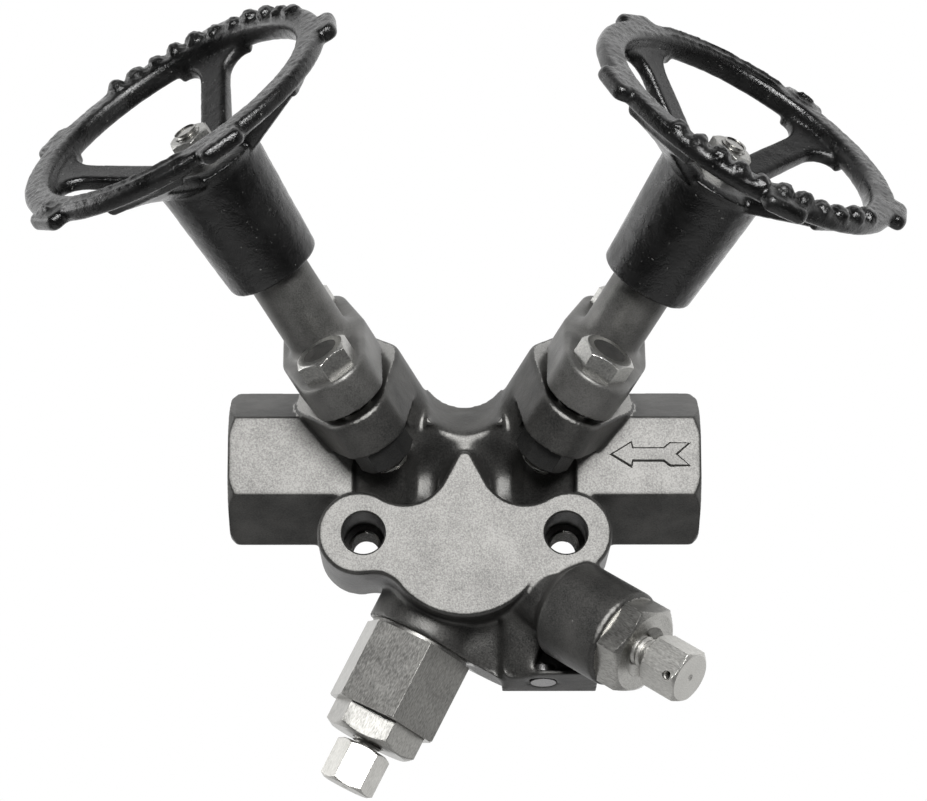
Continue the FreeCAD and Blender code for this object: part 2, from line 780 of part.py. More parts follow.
def reach_of(edge):
    # Distance of an edge's middle from the local axis.
    middle = edge.valueAt((edge.FirstParameter + edge.LastParameter) / 2.0)
    return math.hypot(middle.x, middle.y)


def wheel_spoke(angle):
    # Spoke that climbs from the hub to the lower half of the rim and flares where it meets the rim.
    inner = skirt_top_r - 4.0
    outer = rim_inner_r + rim_round + 1.0
    half = spoke_width / 2.0
    low_top = hub_height - 0.6
    high_top = rim_high - spoke_drop
    side_view = [(inner, low_top), (outer, high_top), (outer, high_top - spoke_tip_height),
                 (inner, low_top - spoke_height)]
    points = [Vector(r, -rim_inner_r, z) for r, z in side_view]
    body = Part.Face(Part.makePolygon(points + [points[0]])).extrude(Vector(0, 2.0 * rim_inner_r, 0))
    cx = math.sqrt((rim_inner_r - spoke_flare_r) ** 2 - (half + spoke_flare_r) ** 2)
    cy = half + spoke_flare_r
    tip = math.atan2(cy, cx)
    mid = (tip - math.pi / 2.0) / 2.0
    edges = []
    for side in (1.0, -1.0):
        start = Vector(inner, side * half, 0)
        touch = Vector(cx, side * half, 0)
        middle = Vector(cx + spoke_flare_r * math.cos(mid), side * (cy + spoke_flare_r * math.sin(mid)), 0)
        end = Vector(math.cos(tip), side * math.sin(tip), 0) * rim_inner_r
        far = end * (outer / rim_inner_r)
        edges += [Part.makeLine(start, touch), Part.Arc(touch, middle, end).toShape()]
        edges.append(Part.makeLine(end, far))
        if side > 0:
            edges.append(Part.makeLine(start, Vector(start.x, -start.y, 0)))
            edges.append(Part.makeLine(far, Vector(far.x, -far.y, 0)))
    plan = Part.Face(Part.Wire(Part.__sortEdges__(edges))).extrude(Vector(0, 0, rim_high + 1.0))
    spoke = body.common(plan)
    long_edges = [e for e in spoke.Edges if e.BoundBox.ZLength > 0.2 and e.BoundBox.XLength > 2.0]
    spoke = spoke.makeFillet(spoke_round, long_edges)
    spoke.rotate(Vector(0, 0, 0), Vector(0, 0, 1), angle)
    return spoke


def handwheel():
    wheel = wheel_hub().fuse(wheel_rim())
    for k in range(spoke_count):
        wheel = wheel.fuse(wheel_spoke(spoke_turn + 360.0 / spoke_count * k))
    hole = cyl(drive_r + drive_fit, hub_height - hub_web - 1.0, hub_height + 1.0)
    return wheel.cut(hole.common(drive_flats(drive_flat + drive_fit)))


def wheel_washer():
    return tube(washer_r, wheel_thread_r + 0.2, hub_height, hub_height + washer_thick)


def wheel_nut():
    low = hub_height + washer_thick
    nut = hex_head(wheel_nut_flats, low, low + wheel_nut_height)
    return nut.cut(cyl(wheel_thread_r + thread_gap, low - 1.0, low + wheel_nut_height + 1.0))


def strainer_screen():
    # Perforated tube that stands in the strainer leg and the bore of the cap.
    low = strainer_bore_start + 0.4
    high = strainer_leg_len + cap_gasket + 6.5
    tube_wall = tube(screen_r, screen_r - screen_wall, low, high)
    for row in range(screen_hole_rows):
        height = low + 5.0 + row * 4.5
        for column in range(screen_hole_columns):
            turn = 360.0 / screen_hole_columns * (column + 0.5 * (row % 2))
            hole = Part.makeCylinder(screen_hole_r, 10.0, Vector(0, 0, height), Vector(1, 0, 0))
            hole.rotate(Vector(0, 0, 0), Vector(0, 0, 1), turn)
            tube_wall = tube_wall.cut(hole)
    return tube_wall


cap_low = strainer_leg_len + cap_gasket
cap_high = cap_low + cap_len
blow_seat = cap_low + 8.0


def cap_gasket_ring():
    return tube(strainer_leg_r - 1.4, cap_spigot_r + 0.2, strainer_leg_len, cap_low)


def strainer_cap():
    # Large hexagon cap: spigot into the leg, bore for the screen, ball seat, and a well for the gland nut.
    cap = hex_head(cap_flats, cap_low, cap_high, cap_turn)
    cap = cap.fuse(cyl(cap_spigot_r, strainer_leg_len - cap_spigot_len, cap_low + 0.5))
    cap = cap.cut(cyl(cap_bore_r, strainer_leg_len - cap_spigot_len - 1.0, blow_seat - 1.0))
    cap = cap.cut(cyl(seat_port_r, blow_seat - 2.0, blow_seat + 1.0))
    well = blow_seat + seat_lip
    room = small_stem_r + small_stem_room
    cap = cap.cut(Part.makeCone(seat_port_r, room, seat_cone, Vector(0, 0, well)))
    cap = cap.cut(cyl(room, well + seat_cone - 0.4, cap_high + 1.0))
    return cap.cut(cyl(gland_spigot_r + bore_gap, cap_high - gland_spigot_len - 0.3, cap_high + 1.0))


def gland_nut():
    nut = hex_head(gland_flats, cap_high, cap_high + gland_height, gland_turn)
    nut = nut.fuse(cyl(gland_spigot_r, cap_high - gland_spigot_len, cap_high + 0.5))
    bore_low = cap_high - gland_spigot_len - 1.0
    return nut.cut(cyl(small_stem_r + small_stem_fit, bore_low, cap_high + gland_height + 1.0))


def ball_height(seat_edge_z):
    # Height of the ball's centre when it rests on the cone of its seat.
    run = small_stem_r + small_stem_room - seat_port_r
    apex = seat_edge_z - seat_port_r * seat_cone / run
    return apex + ball_r * math.hypot(seat_cone, run) / run + thread_gap


def small_ball(height):
    return Part.makeSphere(ball_r, Vector(0, 0, height))


def small_stem(ball_z, face_z, gap, turn, drain_side):
    # Stem with a cup for the ball, an undercut below the hexagon head and a cross-drilled drain.
    head_low = face_z + gap
    head_high = head_low + small_head_len
    cup_r = ball_r + 0.06
    body = spin([(0, ball_z + 0.6), (small_stem_r - 0.4, ball_z + 0.6), (small_stem_r, ball_z + 1.2),
                 (small_stem_r, face_z + gap / 2.0 - 0.4), (small_stem_r - 0.8, face_z + gap / 2.0),
                 (small_stem_r - 0.8, head_low + 0.2), (0, head_low + 0.2)])
    body = body.fuse(hex_head(small_head_flats, head_low, head_high, turn, low_chamfer=True))
    body = body.cut(Part.makeSphere(cup_r, Vector(0, 0, ball_z)))
    body = body.cut(cyl(drain_r, ball_z + cup_r + 3.0, head_low + 6.0))
    side_feed = Part.makeCylinder(drain_r, 10.0, Vector(-5.0, 0, ball_z + cup_r + 4.4), Vector(1, 0, 0))
    outlet = Part.makeCylinder(drain_r, 10.0, Vector(0, 0, head_low + 5.0), Vector(1, 0, 0))
    outlet.rotate(Vector(0, 0, 0), Vector(0, 0, 1), turn + drain_side)
    return body.cut(side_feed).cut(outlet)


test_floor = test_leg_len - test_bore_len
test_seat_top = test_floor + test_seat_height
test_seat_edge = test_seat_top - seat_cone


def test_seat():
    # Seat ring pressed to the floor of the bore, with a cone for the ball.
    ring = tube(test_bore_r - bore_gap, seat_port_r, test_floor, test_seat_top)
    edge = Vector(0, 0, test_seat_edge)
    return ring.cut(Part.makeCone(seat_port_r, small_stem_r + small_stem_room, seat_cone, edge))


def test_nut():
    nut = hex_head(test_nut_flats, test_leg_len, test_leg_len + test_nut_height, test_nut_turn)
    nut = nut.fuse(cyl(test_bore_r - bore_gap, test_seat_top, test_leg_len + 0.5))
    nut = nut.cut(cyl(small_stem_r + small_stem_room, test_seat_top - 1.0, test_seat_top + 3.0))
    return nut.cut(cyl(small_stem_r + small_stem_fit, test_seat_top, test_leg_len + test_nut_height + 1.0))


def drilling_plug():
    return plug_hole()


def save(name, shape):
    shape.exportStep("parts/" + name + ".step")


def build_valve(name, side, lift, wheel_turn):
    fixed = valve_frame(side)
    origin = Vector(side * valve_x, pipe_y, pipe_z) + valve_axis(side) * (closed_skirt + lift)
    moving = frame(origin, valve_axis(side), valve_turned(side, wheel_turn))
    upper_ring = chamber_floor + ring_height + lantern_height
    pieces = (("lower_sealing_ring", sealing_ring(chamber_floor), fixed),
              ("lantern_bush", lantern_bush(), fixed),
              ("upper_sealing_ring", sealing_ring(upper_ring), fixed),
              ("bonnet", bonnet(), fixed),
              ("bonnet_screws", bonnet_screws(), fixed),
              ("bonnet_nuts", bonnet_nuts(), fixed),
              ("piston", piston(), moving),
              ("piston_pins", piston_pins(), moving),
              ("stem", stem(), moving),
              ("handwheel", handwheel(), moving),
              ("wheel_washer", wheel_washer(), moving),
              ("wheel_nut", wheel_nut(), moving))
    for piece, shape, place in pieces:
        save(name + "_" + piece, put(shape, place))


def build():
    save("station_body", station_body())
    save("drilling_plug", drilling_plug())
    build_valve("inlet", 1.0, inlet_lift, inlet_wheel_turn)
    build_valve("outlet", -1.0, outlet_lift, outlet_wheel_turn)
    leg = strainer_frame()
    ball_z = ball_height(blow_seat + seat_lip)
    gland_face = cap_high + gland_height
    blow_stem = small_stem(ball_z, gland_face, blowdown_gap, blowdown_head_turn, blowdown_drain_side)
    save("strainer_screen", put(strainer_screen(), leg))
    save("strainer_cap_gasket", put(cap_gasket_ring(), leg))
    save("strainer_cap", put(strainer_cap(), leg))
    save("blowdown_gland_nut", put(gland_nut(), leg))
    save("blowdown_ball", put(small_ball(ball_z), leg))
    save("blowdown_stem", put(blow_stem, leg))
    test = test_frame()
    ball_z = ball_height(test_seat_edge)
    nut_face = test_leg_len + test_nut_height
    stem_shape = small_stem(ball_z, nut_face, test_gap, test_head_turn, test_drain_side)
    save("test_valve_seat", put(test_seat(), test))
    save("test_valve_nut", put(test_nut(), test))
    save("test_valve_ball", put(small_ball(ball_z), test))
    save("test_valve_stem", put(stem_shape, test))


build()
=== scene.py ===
import bmesh
import bpy
import json
import math
import numpy as np
from mathutils import Matrix, Vector, noise


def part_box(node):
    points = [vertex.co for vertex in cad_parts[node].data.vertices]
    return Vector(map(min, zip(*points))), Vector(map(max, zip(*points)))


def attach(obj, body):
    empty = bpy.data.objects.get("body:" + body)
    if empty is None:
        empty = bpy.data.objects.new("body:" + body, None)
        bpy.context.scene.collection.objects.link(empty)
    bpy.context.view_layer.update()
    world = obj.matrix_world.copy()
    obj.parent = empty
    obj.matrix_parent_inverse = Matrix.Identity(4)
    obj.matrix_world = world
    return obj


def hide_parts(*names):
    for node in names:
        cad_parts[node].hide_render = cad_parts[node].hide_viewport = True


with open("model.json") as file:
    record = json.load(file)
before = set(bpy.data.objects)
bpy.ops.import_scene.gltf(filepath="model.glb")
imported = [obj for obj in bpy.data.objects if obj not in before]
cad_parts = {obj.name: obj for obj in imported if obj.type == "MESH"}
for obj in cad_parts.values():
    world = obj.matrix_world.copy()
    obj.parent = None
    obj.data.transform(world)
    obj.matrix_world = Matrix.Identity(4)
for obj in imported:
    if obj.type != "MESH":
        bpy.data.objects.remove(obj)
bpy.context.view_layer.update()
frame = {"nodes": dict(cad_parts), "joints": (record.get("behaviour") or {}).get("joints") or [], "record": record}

# Forged station body.
# A closed-die steel forging with soft edges and generous fillets, shot-blasted and phosphated, then machined
# at the pipe ends, the trap bolt holes, the valve seats and the trap face.
MM = 0.001
nodes = frame["nodes"]
joints = {joint["name"]: joint for joint in frame["joints"]}
mounts = {mount["name"]: mount for mount in frame["record"]["mounts"]}


def local_frame(origin, axis, across):
    # Matrix whose local Z and X lie along the two directions.
    z = Vector(axis).normalized()
    y = z.cross(Vector(across)).normalized()
    x = y.cross(z)
    turn = Matrix((x, y, z)).transposed().to_4x4()
    return Matrix.Translation(Vector(origin)) @ turn


def merged_copy(name, place=Matrix.Identity(4)):
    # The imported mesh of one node, its split edges joined again, seen from a local frame.
    mesh = nodes[name].data.copy()
    work = bmesh.new()
    work.from_mesh(mesh)
    bmesh.ops.remove_doubles(work, verts=work.verts, dist=1e-6)
    work.transform(place.inverted())
    work.to_mesh(mesh)
    work.free()
    mesh.materials.clear()
    return mesh


def turned_mesh(profile, place=Matrix.Identity(4), steps=96, flats=0.0, turn=0.0):
    # A closed profile of (radius, height) in mm turned about the local axis, as on a lathe. With flats it is
    # turned from hexagon bar, so the radius ends at the flats, and the six long edges are broken by 0.14 mm.
    rays = [(2.0 * math.pi * k / steps, math.inf) for k in range(steps)]
    if flats:
        half = flats / 2.0
        broken = math.degrees(0.07 * math.sqrt(3.0) / flats)
        rays = []
        for side in range(6):
            for k in range(13):
                lean = -30.0 + broken + (60.0 - 2.0 * broken) * k / 12.0
                reach = half / math.cos(math.radians(lean))
                rays.append((math.radians(turn + 30.0 + 60.0 * side + lean), reach))
        finer = []
        for start, end in zip(profile, profile[1:] + profile[:1]):
            wide = max(start[0], end[0]) > half
            slanted = abs(start[0] - end[0]) > 1e-6 and abs(start[1] - end[1]) > 1e-6
            parts = 8 if wide and slanted else 1
            for k in range(parts):
                finer.append(tuple(a + (b - a) * k / parts for a, b in zip(start, end)))
        profile = finer
    work = bmesh.new()
    rings = []
    for radius, height in profile:
        if radius < 1e-6:
            rings.append([work.verts.new((0.0, 0.0, height * MM))])
            continue
        ring = []
        for angle, reach in rays:
            out = min(radius, reach) * MM
            ring.append(work.verts.new((out * math.cos(angle), out * math.sin(angle), height * MM)))
        rings.append(ring)
    count = len(rays)
    for low, high in zip(rings, rings[1:] + rings[:1]):
        for k in range(count):
            after = (k + 1) % count
            corners = [low[k % len(low)], low[after % len(low)], high[after % len(high)], high[k % len(high)]]
            corners = list(dict.fromkeys(corners))
            if len(corners) > 2:
                work.faces.new(corners)
    bmesh.ops.recalc_face_normals(work, faces=work.faces)
    work.transform(place)
    mesh = bpy.data.meshes.new("turned")
    work.to_mesh(mesh)
    work.free()
    return mesh


def joined(meshes):
    work = bmesh.new()
    for mesh in meshes:
        work.from_mesh(mesh)
    result = bpy.data.meshes.new("joined")
    work.to_mesh(result)
    work.free()
    return result


def placed(name, mesh, place=Matrix.Identity(4)):
    piece = bpy.data.objects.new(name, mesh)
    bpy.context.scene.collection.objects.link(piece)
    piece.matrix_world = place
    return piece


def applied(piece):
    # Bakes the modifiers of a piece into its own mesh.
    view = bpy.context.evaluated_depsgraph_get()
    mesh = bpy.data.meshes.new_from_object(piece.evaluated_get(view))
    piece.modifiers.clear()
    piece.data = mesh
    return piece


def remeshed(name, mesh, grid, place=Matrix.Identity(4)):
    piece = placed(name, mesh, place)
    even = piece.modifiers.new("even", "REMESH")
    even.mode = "VOXEL"
    even.voxel_size = grid * MM
    return applied(piece)


def mesh_points(mesh):
    points = np.empty(len(mesh.vertices) * 3)
    mesh.vertices.foreach_get("co", points)
    return points.reshape(-1, 3)


def mesh_normals(mesh):
    normals = np.empty(len(mesh.vertices) * 3, np.float32)
    mesh.vertex_normals.foreach_get("vector", normals)
    return normals.reshape(-1, 3)


def soften(mesh, rounds, fill, wear, held=None):
    # Fills inner corners and rounds outer ones, as a die or a sand mould leaves them.
    points = mesh_points(mesh)
    normals = mesh_normals(mesh)
    count = len(points)
    ends = np.empty(len(mesh.edges) * 2, np.int32)
    mesh.edges.foreach_get("vertices", ends)
    near = np.concatenate([ends[0::2], ends[1::2]])
    far = np.concatenate([ends[1::2], ends[0::2]])
    number = np.maximum(np.bincount(near, minlength=count), 1)
    free = np.ones(count) if held is None else 1.0 - held(points)
    for _ in range(rounds):
        mean = np.stack([np.bincount(near, points[far, k], minlength=count) / number for k in range(3)], 1)
        step = mean - points
        outward = (step * normals).sum(1)
        gain = np.where(outward > 0.0, fill, wear) * free
        points += step * gain[:, None]
    mesh.vertices.foreach_set("co", points.ravel())
    mesh.update()


def cut_from(piece, tools):
    # Machines a piece with closed tool meshes.
    for tool in tools:
        cutter = placed("cutter", tool)
        cut = piece.modifiers.new("cut", "BOOLEAN")
        cut.operation = "DIFFERENCE"
        cut.solver = "MANIFOLD"
        cut.material_mode = "TRANSFER"
        cut.object = cutter
        applied(piece)
        bpy.data.objects.remove(cutter)


def thinned(piece, faces):
    ratio = faces / max(1, sum(len(face.vertices) - 2 for face in piece.data.polygons))
    if ratio < 1.0:
        fewer = piece.modifiers.new("fewer", "DECIMATE")
        fewer.ratio = ratio
        applied(piece)


def finished(piece, material, body, node, sharp=38.0):
    # Shading, finish and place of one piece. Its own coordinates are kept for patterns that follow its axis.
    own = piece.data.attributes.new("own_axis", "FLOAT_VECTOR", "POINT")
    own.data.foreach_set("vector", mesh_points(piece.data).ravel())
    piece.data.transform(piece.matrix_world)
    piece.matrix_world = Matrix.Identity(4)
    piece.data.shade_smooth()
    piece.data.set_sharp_from_angle(angle=math.radians(sharp))
    if not piece.data.materials:
        piece.data.materials.append(material)
    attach(piece, body)
    if node:
        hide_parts(node)


def two_finishes(piece, base, other, chosen):
    # Gives the faces that chosen(centres in mm, normals) picks a second finish.
    piece.data.materials.clear()
    piece.data.materials.append(base)
    piece.data.materials.append(other)
    centres = np.empty(len(piece.data.polygons) * 3, np.float32)
    piece.data.polygons.foreach_get("center", centres)
    normals = np.empty(len(piece.data.polygons) * 3, np.float32)
    piece.data.polygons.foreach_get("normal", normals)
    picked = chosen(centres.reshape(-1, 3) / MM, normals.reshape(-1, 3))
    piece.data.polygons.foreach_set("material_index", picked.astype(np.int32))


def linear(text):
    # sRGB hex to linear colour.
    values = [int(text[k:k + 2], 16) / 255.0 for k in (1, 3, 5)]
    return [v / 12.92 if v <= 0.04045 else ((v + 0.055) / 1.055) ** 2.4 for v in values] + [1.0]


def add_node(material, kind, settings=None, links=None):
    # One node with its settings and the outputs that feed it. Colour stops are pairs of level and hex colour.
    node = material.node_tree.nodes.new(kind)
    for key, value in (settings or {}).items():
        if key == "stops":
            for end, (level, colour) in enumerate(value):
                node.color_ramp.elements[end].position = level
                node.color_ramp.elements[end].color = linear(colour)
        elif isinstance(key, int) or key in node.inputs:
            node.inputs[key].default_value = value
        else:
            setattr(node, key, value)
    for key, source in (links or {}).items():
        material.node_tree.links.new(source, node.inputs[key])
    return node


def blank_material(name):
    material = bpy.data.materials.new(name)
    material.use_nodes = True
    material.node_tree.nodes.clear()
    return material


# Phosphated forged steel: grey crystal coat over a shot-blasted skin, so the eye sees a dark, softly shining
# metal with fine grain and clouds. When front colours are given, faces that point to the front are painted a
# pale, matt steel as painted light from the front lamp. The grain is drawn at about twice its real 0.2 mm, so that
# it shows.
def phosphated_forging(name, dark, light, grain_mm=0.42, painted_front_light=None):
    steel = blank_material(name)
    where = add_node(steel, "ShaderNodeTexCoord").outputs["Object"]
    grain = add_node(steel, "ShaderNodeTexNoise",
                     {"Scale": 1.0 / (grain_mm * MM), "Detail": 3.0, "Roughness": 0.6}, {"Vector": where})
    clouds = add_node(steel, "ShaderNodeTexNoise",
                      {"Scale": 1.0 / (9.0 * MM), "Detail": 4.0, "Roughness": 0.55}, {"Vector": where})
    dents = add_node(steel, "ShaderNodeTexNoise", {"Scale": 1.0 / (2.6 * MM), "Detail": 2.0},
                     {"Vector": where})
    blend = add_node(steel, "ShaderNodeMix", {"data_type": "FLOAT", 0: 0.5},
                     {2: clouds.outputs["Fac"], 3: grain.outputs["Fac"]})
    colour = add_node(steel, "ShaderNodeValToRGB", {"stops": [(0.36, dark), (0.64, light)]},
                      {"Fac": blend.outputs[0]})
    rough = add_node(steel, "ShaderNodeMapRange",
                     {"From Min": 0.3, "From Max": 0.7, "To Min": 0.4, "To Max": 0.56},
                     {"Value": grain.outputs["Fac"]})
    low = add_node(steel, "ShaderNodeBump", {"Strength": 0.5, "Distance": 0.16 * MM},
                   {"Height": dents.outputs["Fac"]})
    fine = add_node(steel, "ShaderNodeBump", {"Strength": 0.6, "Distance": 0.09 * MM},
                    {"Height": grain.outputs["Fac"], "Normal": low.outputs["Normal"]})
    shader = add_node(steel, "ShaderNodeBsdfPrincipled", {"Metallic": 0.8},
                      {"Base Color": colour.outputs["Color"], "Roughness": rough.outputs["Result"],
                       "Normal": fine.outputs["Normal"]})
    if painted_front_light:
        # Painted light: faces whose normal points to the front and that stand ahead of y = -34.6 mm get a paler,
        # matt steel, standing in for the front lamp's light on them.
        geometry = add_node(steel, "ShaderNodeNewGeometry")
        facing = add_node(steel, "ShaderNodeSeparateXYZ", {}, {0: geometry.outputs["Normal"]})
        depth = add_node(steel, "ShaderNodeSeparateXYZ", {}, {0: where})
        flat = add_node(steel, "ShaderNodeMapRange",
                        {"From Min": -0.9, "From Max": -0.98, "To Min": 0.0, "To Max": 1.0},
                        {"Value": facing.outputs["Y"]})
        proud = add_node(steel, "ShaderNodeMapRange",
                         {"From Min": -34.6 * MM, "From Max": -35.0 * MM, "To Min": 0.0, "To Max": 1.0},
                         {"Value": depth.outputs["Y"]})
        share = add_node(steel, "ShaderNodeMath", {"operation": "MULTIPLY"},
                         {0: flat.outputs["Result"], 1: proud.outputs["Result"]})
        tint = add_node(steel, "ShaderNodeMix", {"data_type": "FLOAT", 0: 0.7},
                        {2: clouds.outputs["Fac"], 3: grain.outputs["Fac"]})
        front_light_paint = add_node(steel, "ShaderNodeValToRGB", {"stops": [(0.36, painted_front_light[0]), (0.6, painted_front_light[1])]},
                              {"Fac": tint.outputs[0]})
        painted_light_shader = add_node(steel, "ShaderNodeBsdfPrincipled", {"Metallic": 0.3, "Roughness": 0.62},
                        {"Base Color": front_light_paint.outputs["Color"], "Normal": fine.outputs["Normal"]})
        shader = add_node(steel, "ShaderNodeMixShader", {},
                          {0: share.outputs[0], 1: shader.outputs["BSDF"], 2: painted_light_shader.outputs["BSDF"]})
    add_node(steel, "ShaderNodeOutputMaterial", links={"Surface": shader.outputs[0]})
    return steel


# Machined steel: bare metal with the fine lines of the tool, brighter and smoother than the forging. The
# lines run where the stretch is small; they are drawn coarser than the real 0.1 mm feed, so that they show.
def machined_steel(name, dark, light, line_mm=0.3, stretch=None, smooth=0.28, dull=0.42):
    steel = blank_material(name)
    where = add_node(steel, "ShaderNodeTexCoord").outputs["Object"]
    if stretch:
        where = add_node(steel, "ShaderNodeAttribute", {"attribute_name": "own_axis"}).outputs["Vector"]
    along = add_node(steel, "ShaderNodeMapping", {"Scale": stretch or (1.0, 1.0, 1.0)}, {"Vector": where})
    lines = add_node(steel, "ShaderNodeTexNoise", {"Scale": 1.0 / (line_mm * MM), "Detail": 2.0},
                     {"Vector": along.outputs["Vector"]})
    haze = add_node(steel, "ShaderNodeTexNoise", {"Scale": 1.0 / (5.0 * MM), "Detail": 3.0},
                    {"Vector": where})
    blend = add_node(steel, "ShaderNodeMix", {"data_type": "FLOAT", 0: 0.75},
                     {2: haze.outputs["Fac"], 3: lines.outputs["Fac"]})
    colour = add_node(steel, "ShaderNodeValToRGB", {"stops": [(0.33, dark), (0.67, light)]},
                      {"Fac": blend.outputs[0]})
    rough = add_node(steel, "ShaderNodeMapRange",
                     {"From Min": 0.2, "From Max": 0.8, "To Min": smooth, "To Max": dull},
                     {"Value": blend.outputs[0]})
    bump = add_node(steel, "ShaderNodeBump", {"Strength": 0.35, "Distance": 0.03 * MM},
                    {"Height": lines.outputs["Fac"]})
    shader = add_node(steel, "ShaderNodeBsdfPrincipled", {"Metallic": 1.0},
                      {"Base Color": colour.outputs["Color"], "Roughness": rough.outputs["Result"],
                       "Normal": bump.outputs["Normal"]})
    add_node(steel, "ShaderNodeOutputMaterial", links={"Surface": shader.outputs[0]})
    return steel


# The last colour pair is painted light: it paints the forward-facing faces pale.
forging = phosphated_forging("phosphated_forged_steel_and_painted_front_light", "#3a3a39", "#5a5957", 0.42, ("#656462", "#8d8c89"))
bore_steel = machined_steel("bored_steel", "#6d6c69", "#9a9996")

pipe_centre = Vector(joints["outlet_valve_lift"]["pos_m"])
pipe_centre.x = 0.0
half_length = 60.0
thread_minor = mounts["inlet_port"]["dims"]["r_mm"]
thread_major = 13.2
thread_length = 19.0
mouth_radius = 13.6
mouth_depth = 1.6
bolt_x = mounts["trap_bolts"]["dims"]["spacing_x_mm"] / 2.0
plate_front = -40.0
ear_rear = mounts["trap_bolts"]["pos_m"][1] / MM
hole_radius = 5.3
hole_length = 19.0
bolt_minor = mounts["trap_bolts"]["dims"]["hole_r_mm"]
bolt_major = 4.0
face_radius = 20.6
body_grid = 0.5
hex_start = 36.0
leg_starts = {"inlet_valve_lift": (15.4, -18.0, 20.5), "outlet_valve_lift": (-15.4, -18.0, 20.5),
              "blowdown_lift": (1.0, -18.0, 0.0), "test_valve_lift": (0.0, -18.0, 0.0)}
# Radius, start and end of the drillings that open into the ring port.
ring_drillings = ((3.0, (-5.2, -20.0, 21.9), (-5.2, -3.0, 11.8)),
                  (2.2, (13.5, -14.0, -12.0), (10.4, -3.5, -7.3)))

fills = []
tools = []
port_frames = []
bolt_frames = []
port_floor = half_length - thread_length
bolt_depth = ear_rear - plate_front
for side in (-1.0, 1.0):
    port = local_frame(pipe_centre, (side, 0, 0), (0, 0, 1))
    port_frames.append(port)
    fills.append(turned_mesh([(0, port_floor - 2.9), (6.2, port_floor - 2.9),
                              (thread_minor + 0.1, port_floor),
                              (thread_minor + 0.1, half_length - mouth_depth - 0.2),
                              (mouth_radius, half_length - 0.02), (0, half_length - 0.02)], port))
    tools.append(turned_mesh([(0, port_floor - 4.0), (6.0, port_floor - 4.0), (6.0, port_floor - 3.0),
                              (thread_minor - 0.8, port_floor), (thread_major + 0.15, port_floor),
                              (thread_major + 0.15, half_length - 0.25), (mouth_radius, half_length),
                              (mouth_radius, half_length + 1.0), (0, half_length + 1.0)], port))
    hole = local_frame((side * bolt_x * MM, plate_front * MM, 0), (0, 1, 0), (0, 0, 1))
    bolt_frames.append(hole)
    fills.append(turned_mesh([(0, 0.02), (hole_radius + 0.1, 0.02), (hole_radius + 0.1, hole_length + 0.2),
                              (bolt_minor + 0.1, hole_length + 0.2), (bolt_minor + 0.1, bolt_depth - 0.02),
                              (0, bolt_depth - 0.02)], hole))
    tools.append(turned_mesh([(0, -1.0), (hole_radius + 0.4, -1.0), (hole_radius + 0.4, 0.0),
                              (hole_radius, 0.4), (hole_radius, hole_length),
                              (bolt_major + 0.1, hole_length + 0.8),
                              (bolt_major + 0.1, bolt_depth - 0.4), (bolt_major + 0.4, bolt_depth),
                              (bolt_major + 0.4, bolt_depth + 1.0), (0, bolt_depth + 1.0)], hole))
trap = local_frame((0, 0, 0), (0, 1, 0), (0, 0, 1))
face_profile = [(0, -5.5), (face_radius - 0.1, -5.5), (face_radius - 0.1, -0.02), (0, -0.02)]
fills.append(turned_mesh(face_profile, trap))
tools.append(turned_mesh([(4.6, -14.0), (4.6, -0.4), (5.0, 0.5), (0, 0.5), (0, -14.0)], trap))
tools.append(turned_mesh([(10.6, -4.5), (14.6, -4.5), (14.6, -0.8), (17.4, -0.8), (17.4, 0.5), (7.2, 0.5),
                          (7.2, -0.8), (10.6, -0.8)], trap))
for radius, start, end in ring_drillings:
    way = Vector(end) - Vector(start)
    drilling = local_frame(Vector(start) * MM, way, (1, 0, 0))
    tools.append(turned_mesh([(0, 0), (radius, 0), (radius, way.length), (0, way.length)], drilling, 32))

body = remeshed("forged_body", joined([merged_copy("station_body")] + fills), body_grid)


def machined_seats(points):
    # 1 where a face is machined and keeps its exact place, less on edges that the trimming die leaves crisp.
    crisp = 0.55
    held = np.zeros(len(points))
    held[(np.abs(points[:, 0]) > hex_start * MM) & (points[:, 2] > 2.0 * MM)] = crisp
    held[points[:, 1] < (plate_front + 2.0) * MM] = crisp
    for name in ("outlet_valve_lift", "inlet_valve_lift"):
        axis = np.array(joints[name]["axis"])
        height = (points - np.array(joints[name]["pos_m"])) @ axis
        radial = points - np.array(joints[name]["pos_m"]) - height[:, None] * axis
        reach = np.sqrt((radial ** 2).sum(1))
        held[(height > 29.3 * MM) & (reach < 30.0 * MM)] = 1.0
        held[(height > 8.0 * MM) & (reach < 10.5 * MM)] = 1.0
    held[points[:, 1] > -1.2 * MM] = 1.0
    return held


def beyond(points, spot, size):
    # 0 well inside an ellipsoid, 1 outside it.
    reach = np.sqrt((((points / MM - spot) / size) ** 2).sum(1))
    return np.clip((reach - 0.55) / 0.45, 0.0, 1.0)


def beside_web(points):
    # The hollow between the strainer foot and the web.
    return beyond(points, (9.0, -28.5, -28.5), (11.0, 10.0, 14.0))


def off_saddle(points):
    # The saddle between the two valve legs.
    return np.maximum(beyond(points, (0.0, -33.0, 25.0), (16.0, 10.0, 11.0)), points[:, 1] < -38.0 * MM)


def faded(distance, width):
    # 0 at an edge, rising to 1 over the width.
    return np.clip(distance / width, 0.0, 1.0)


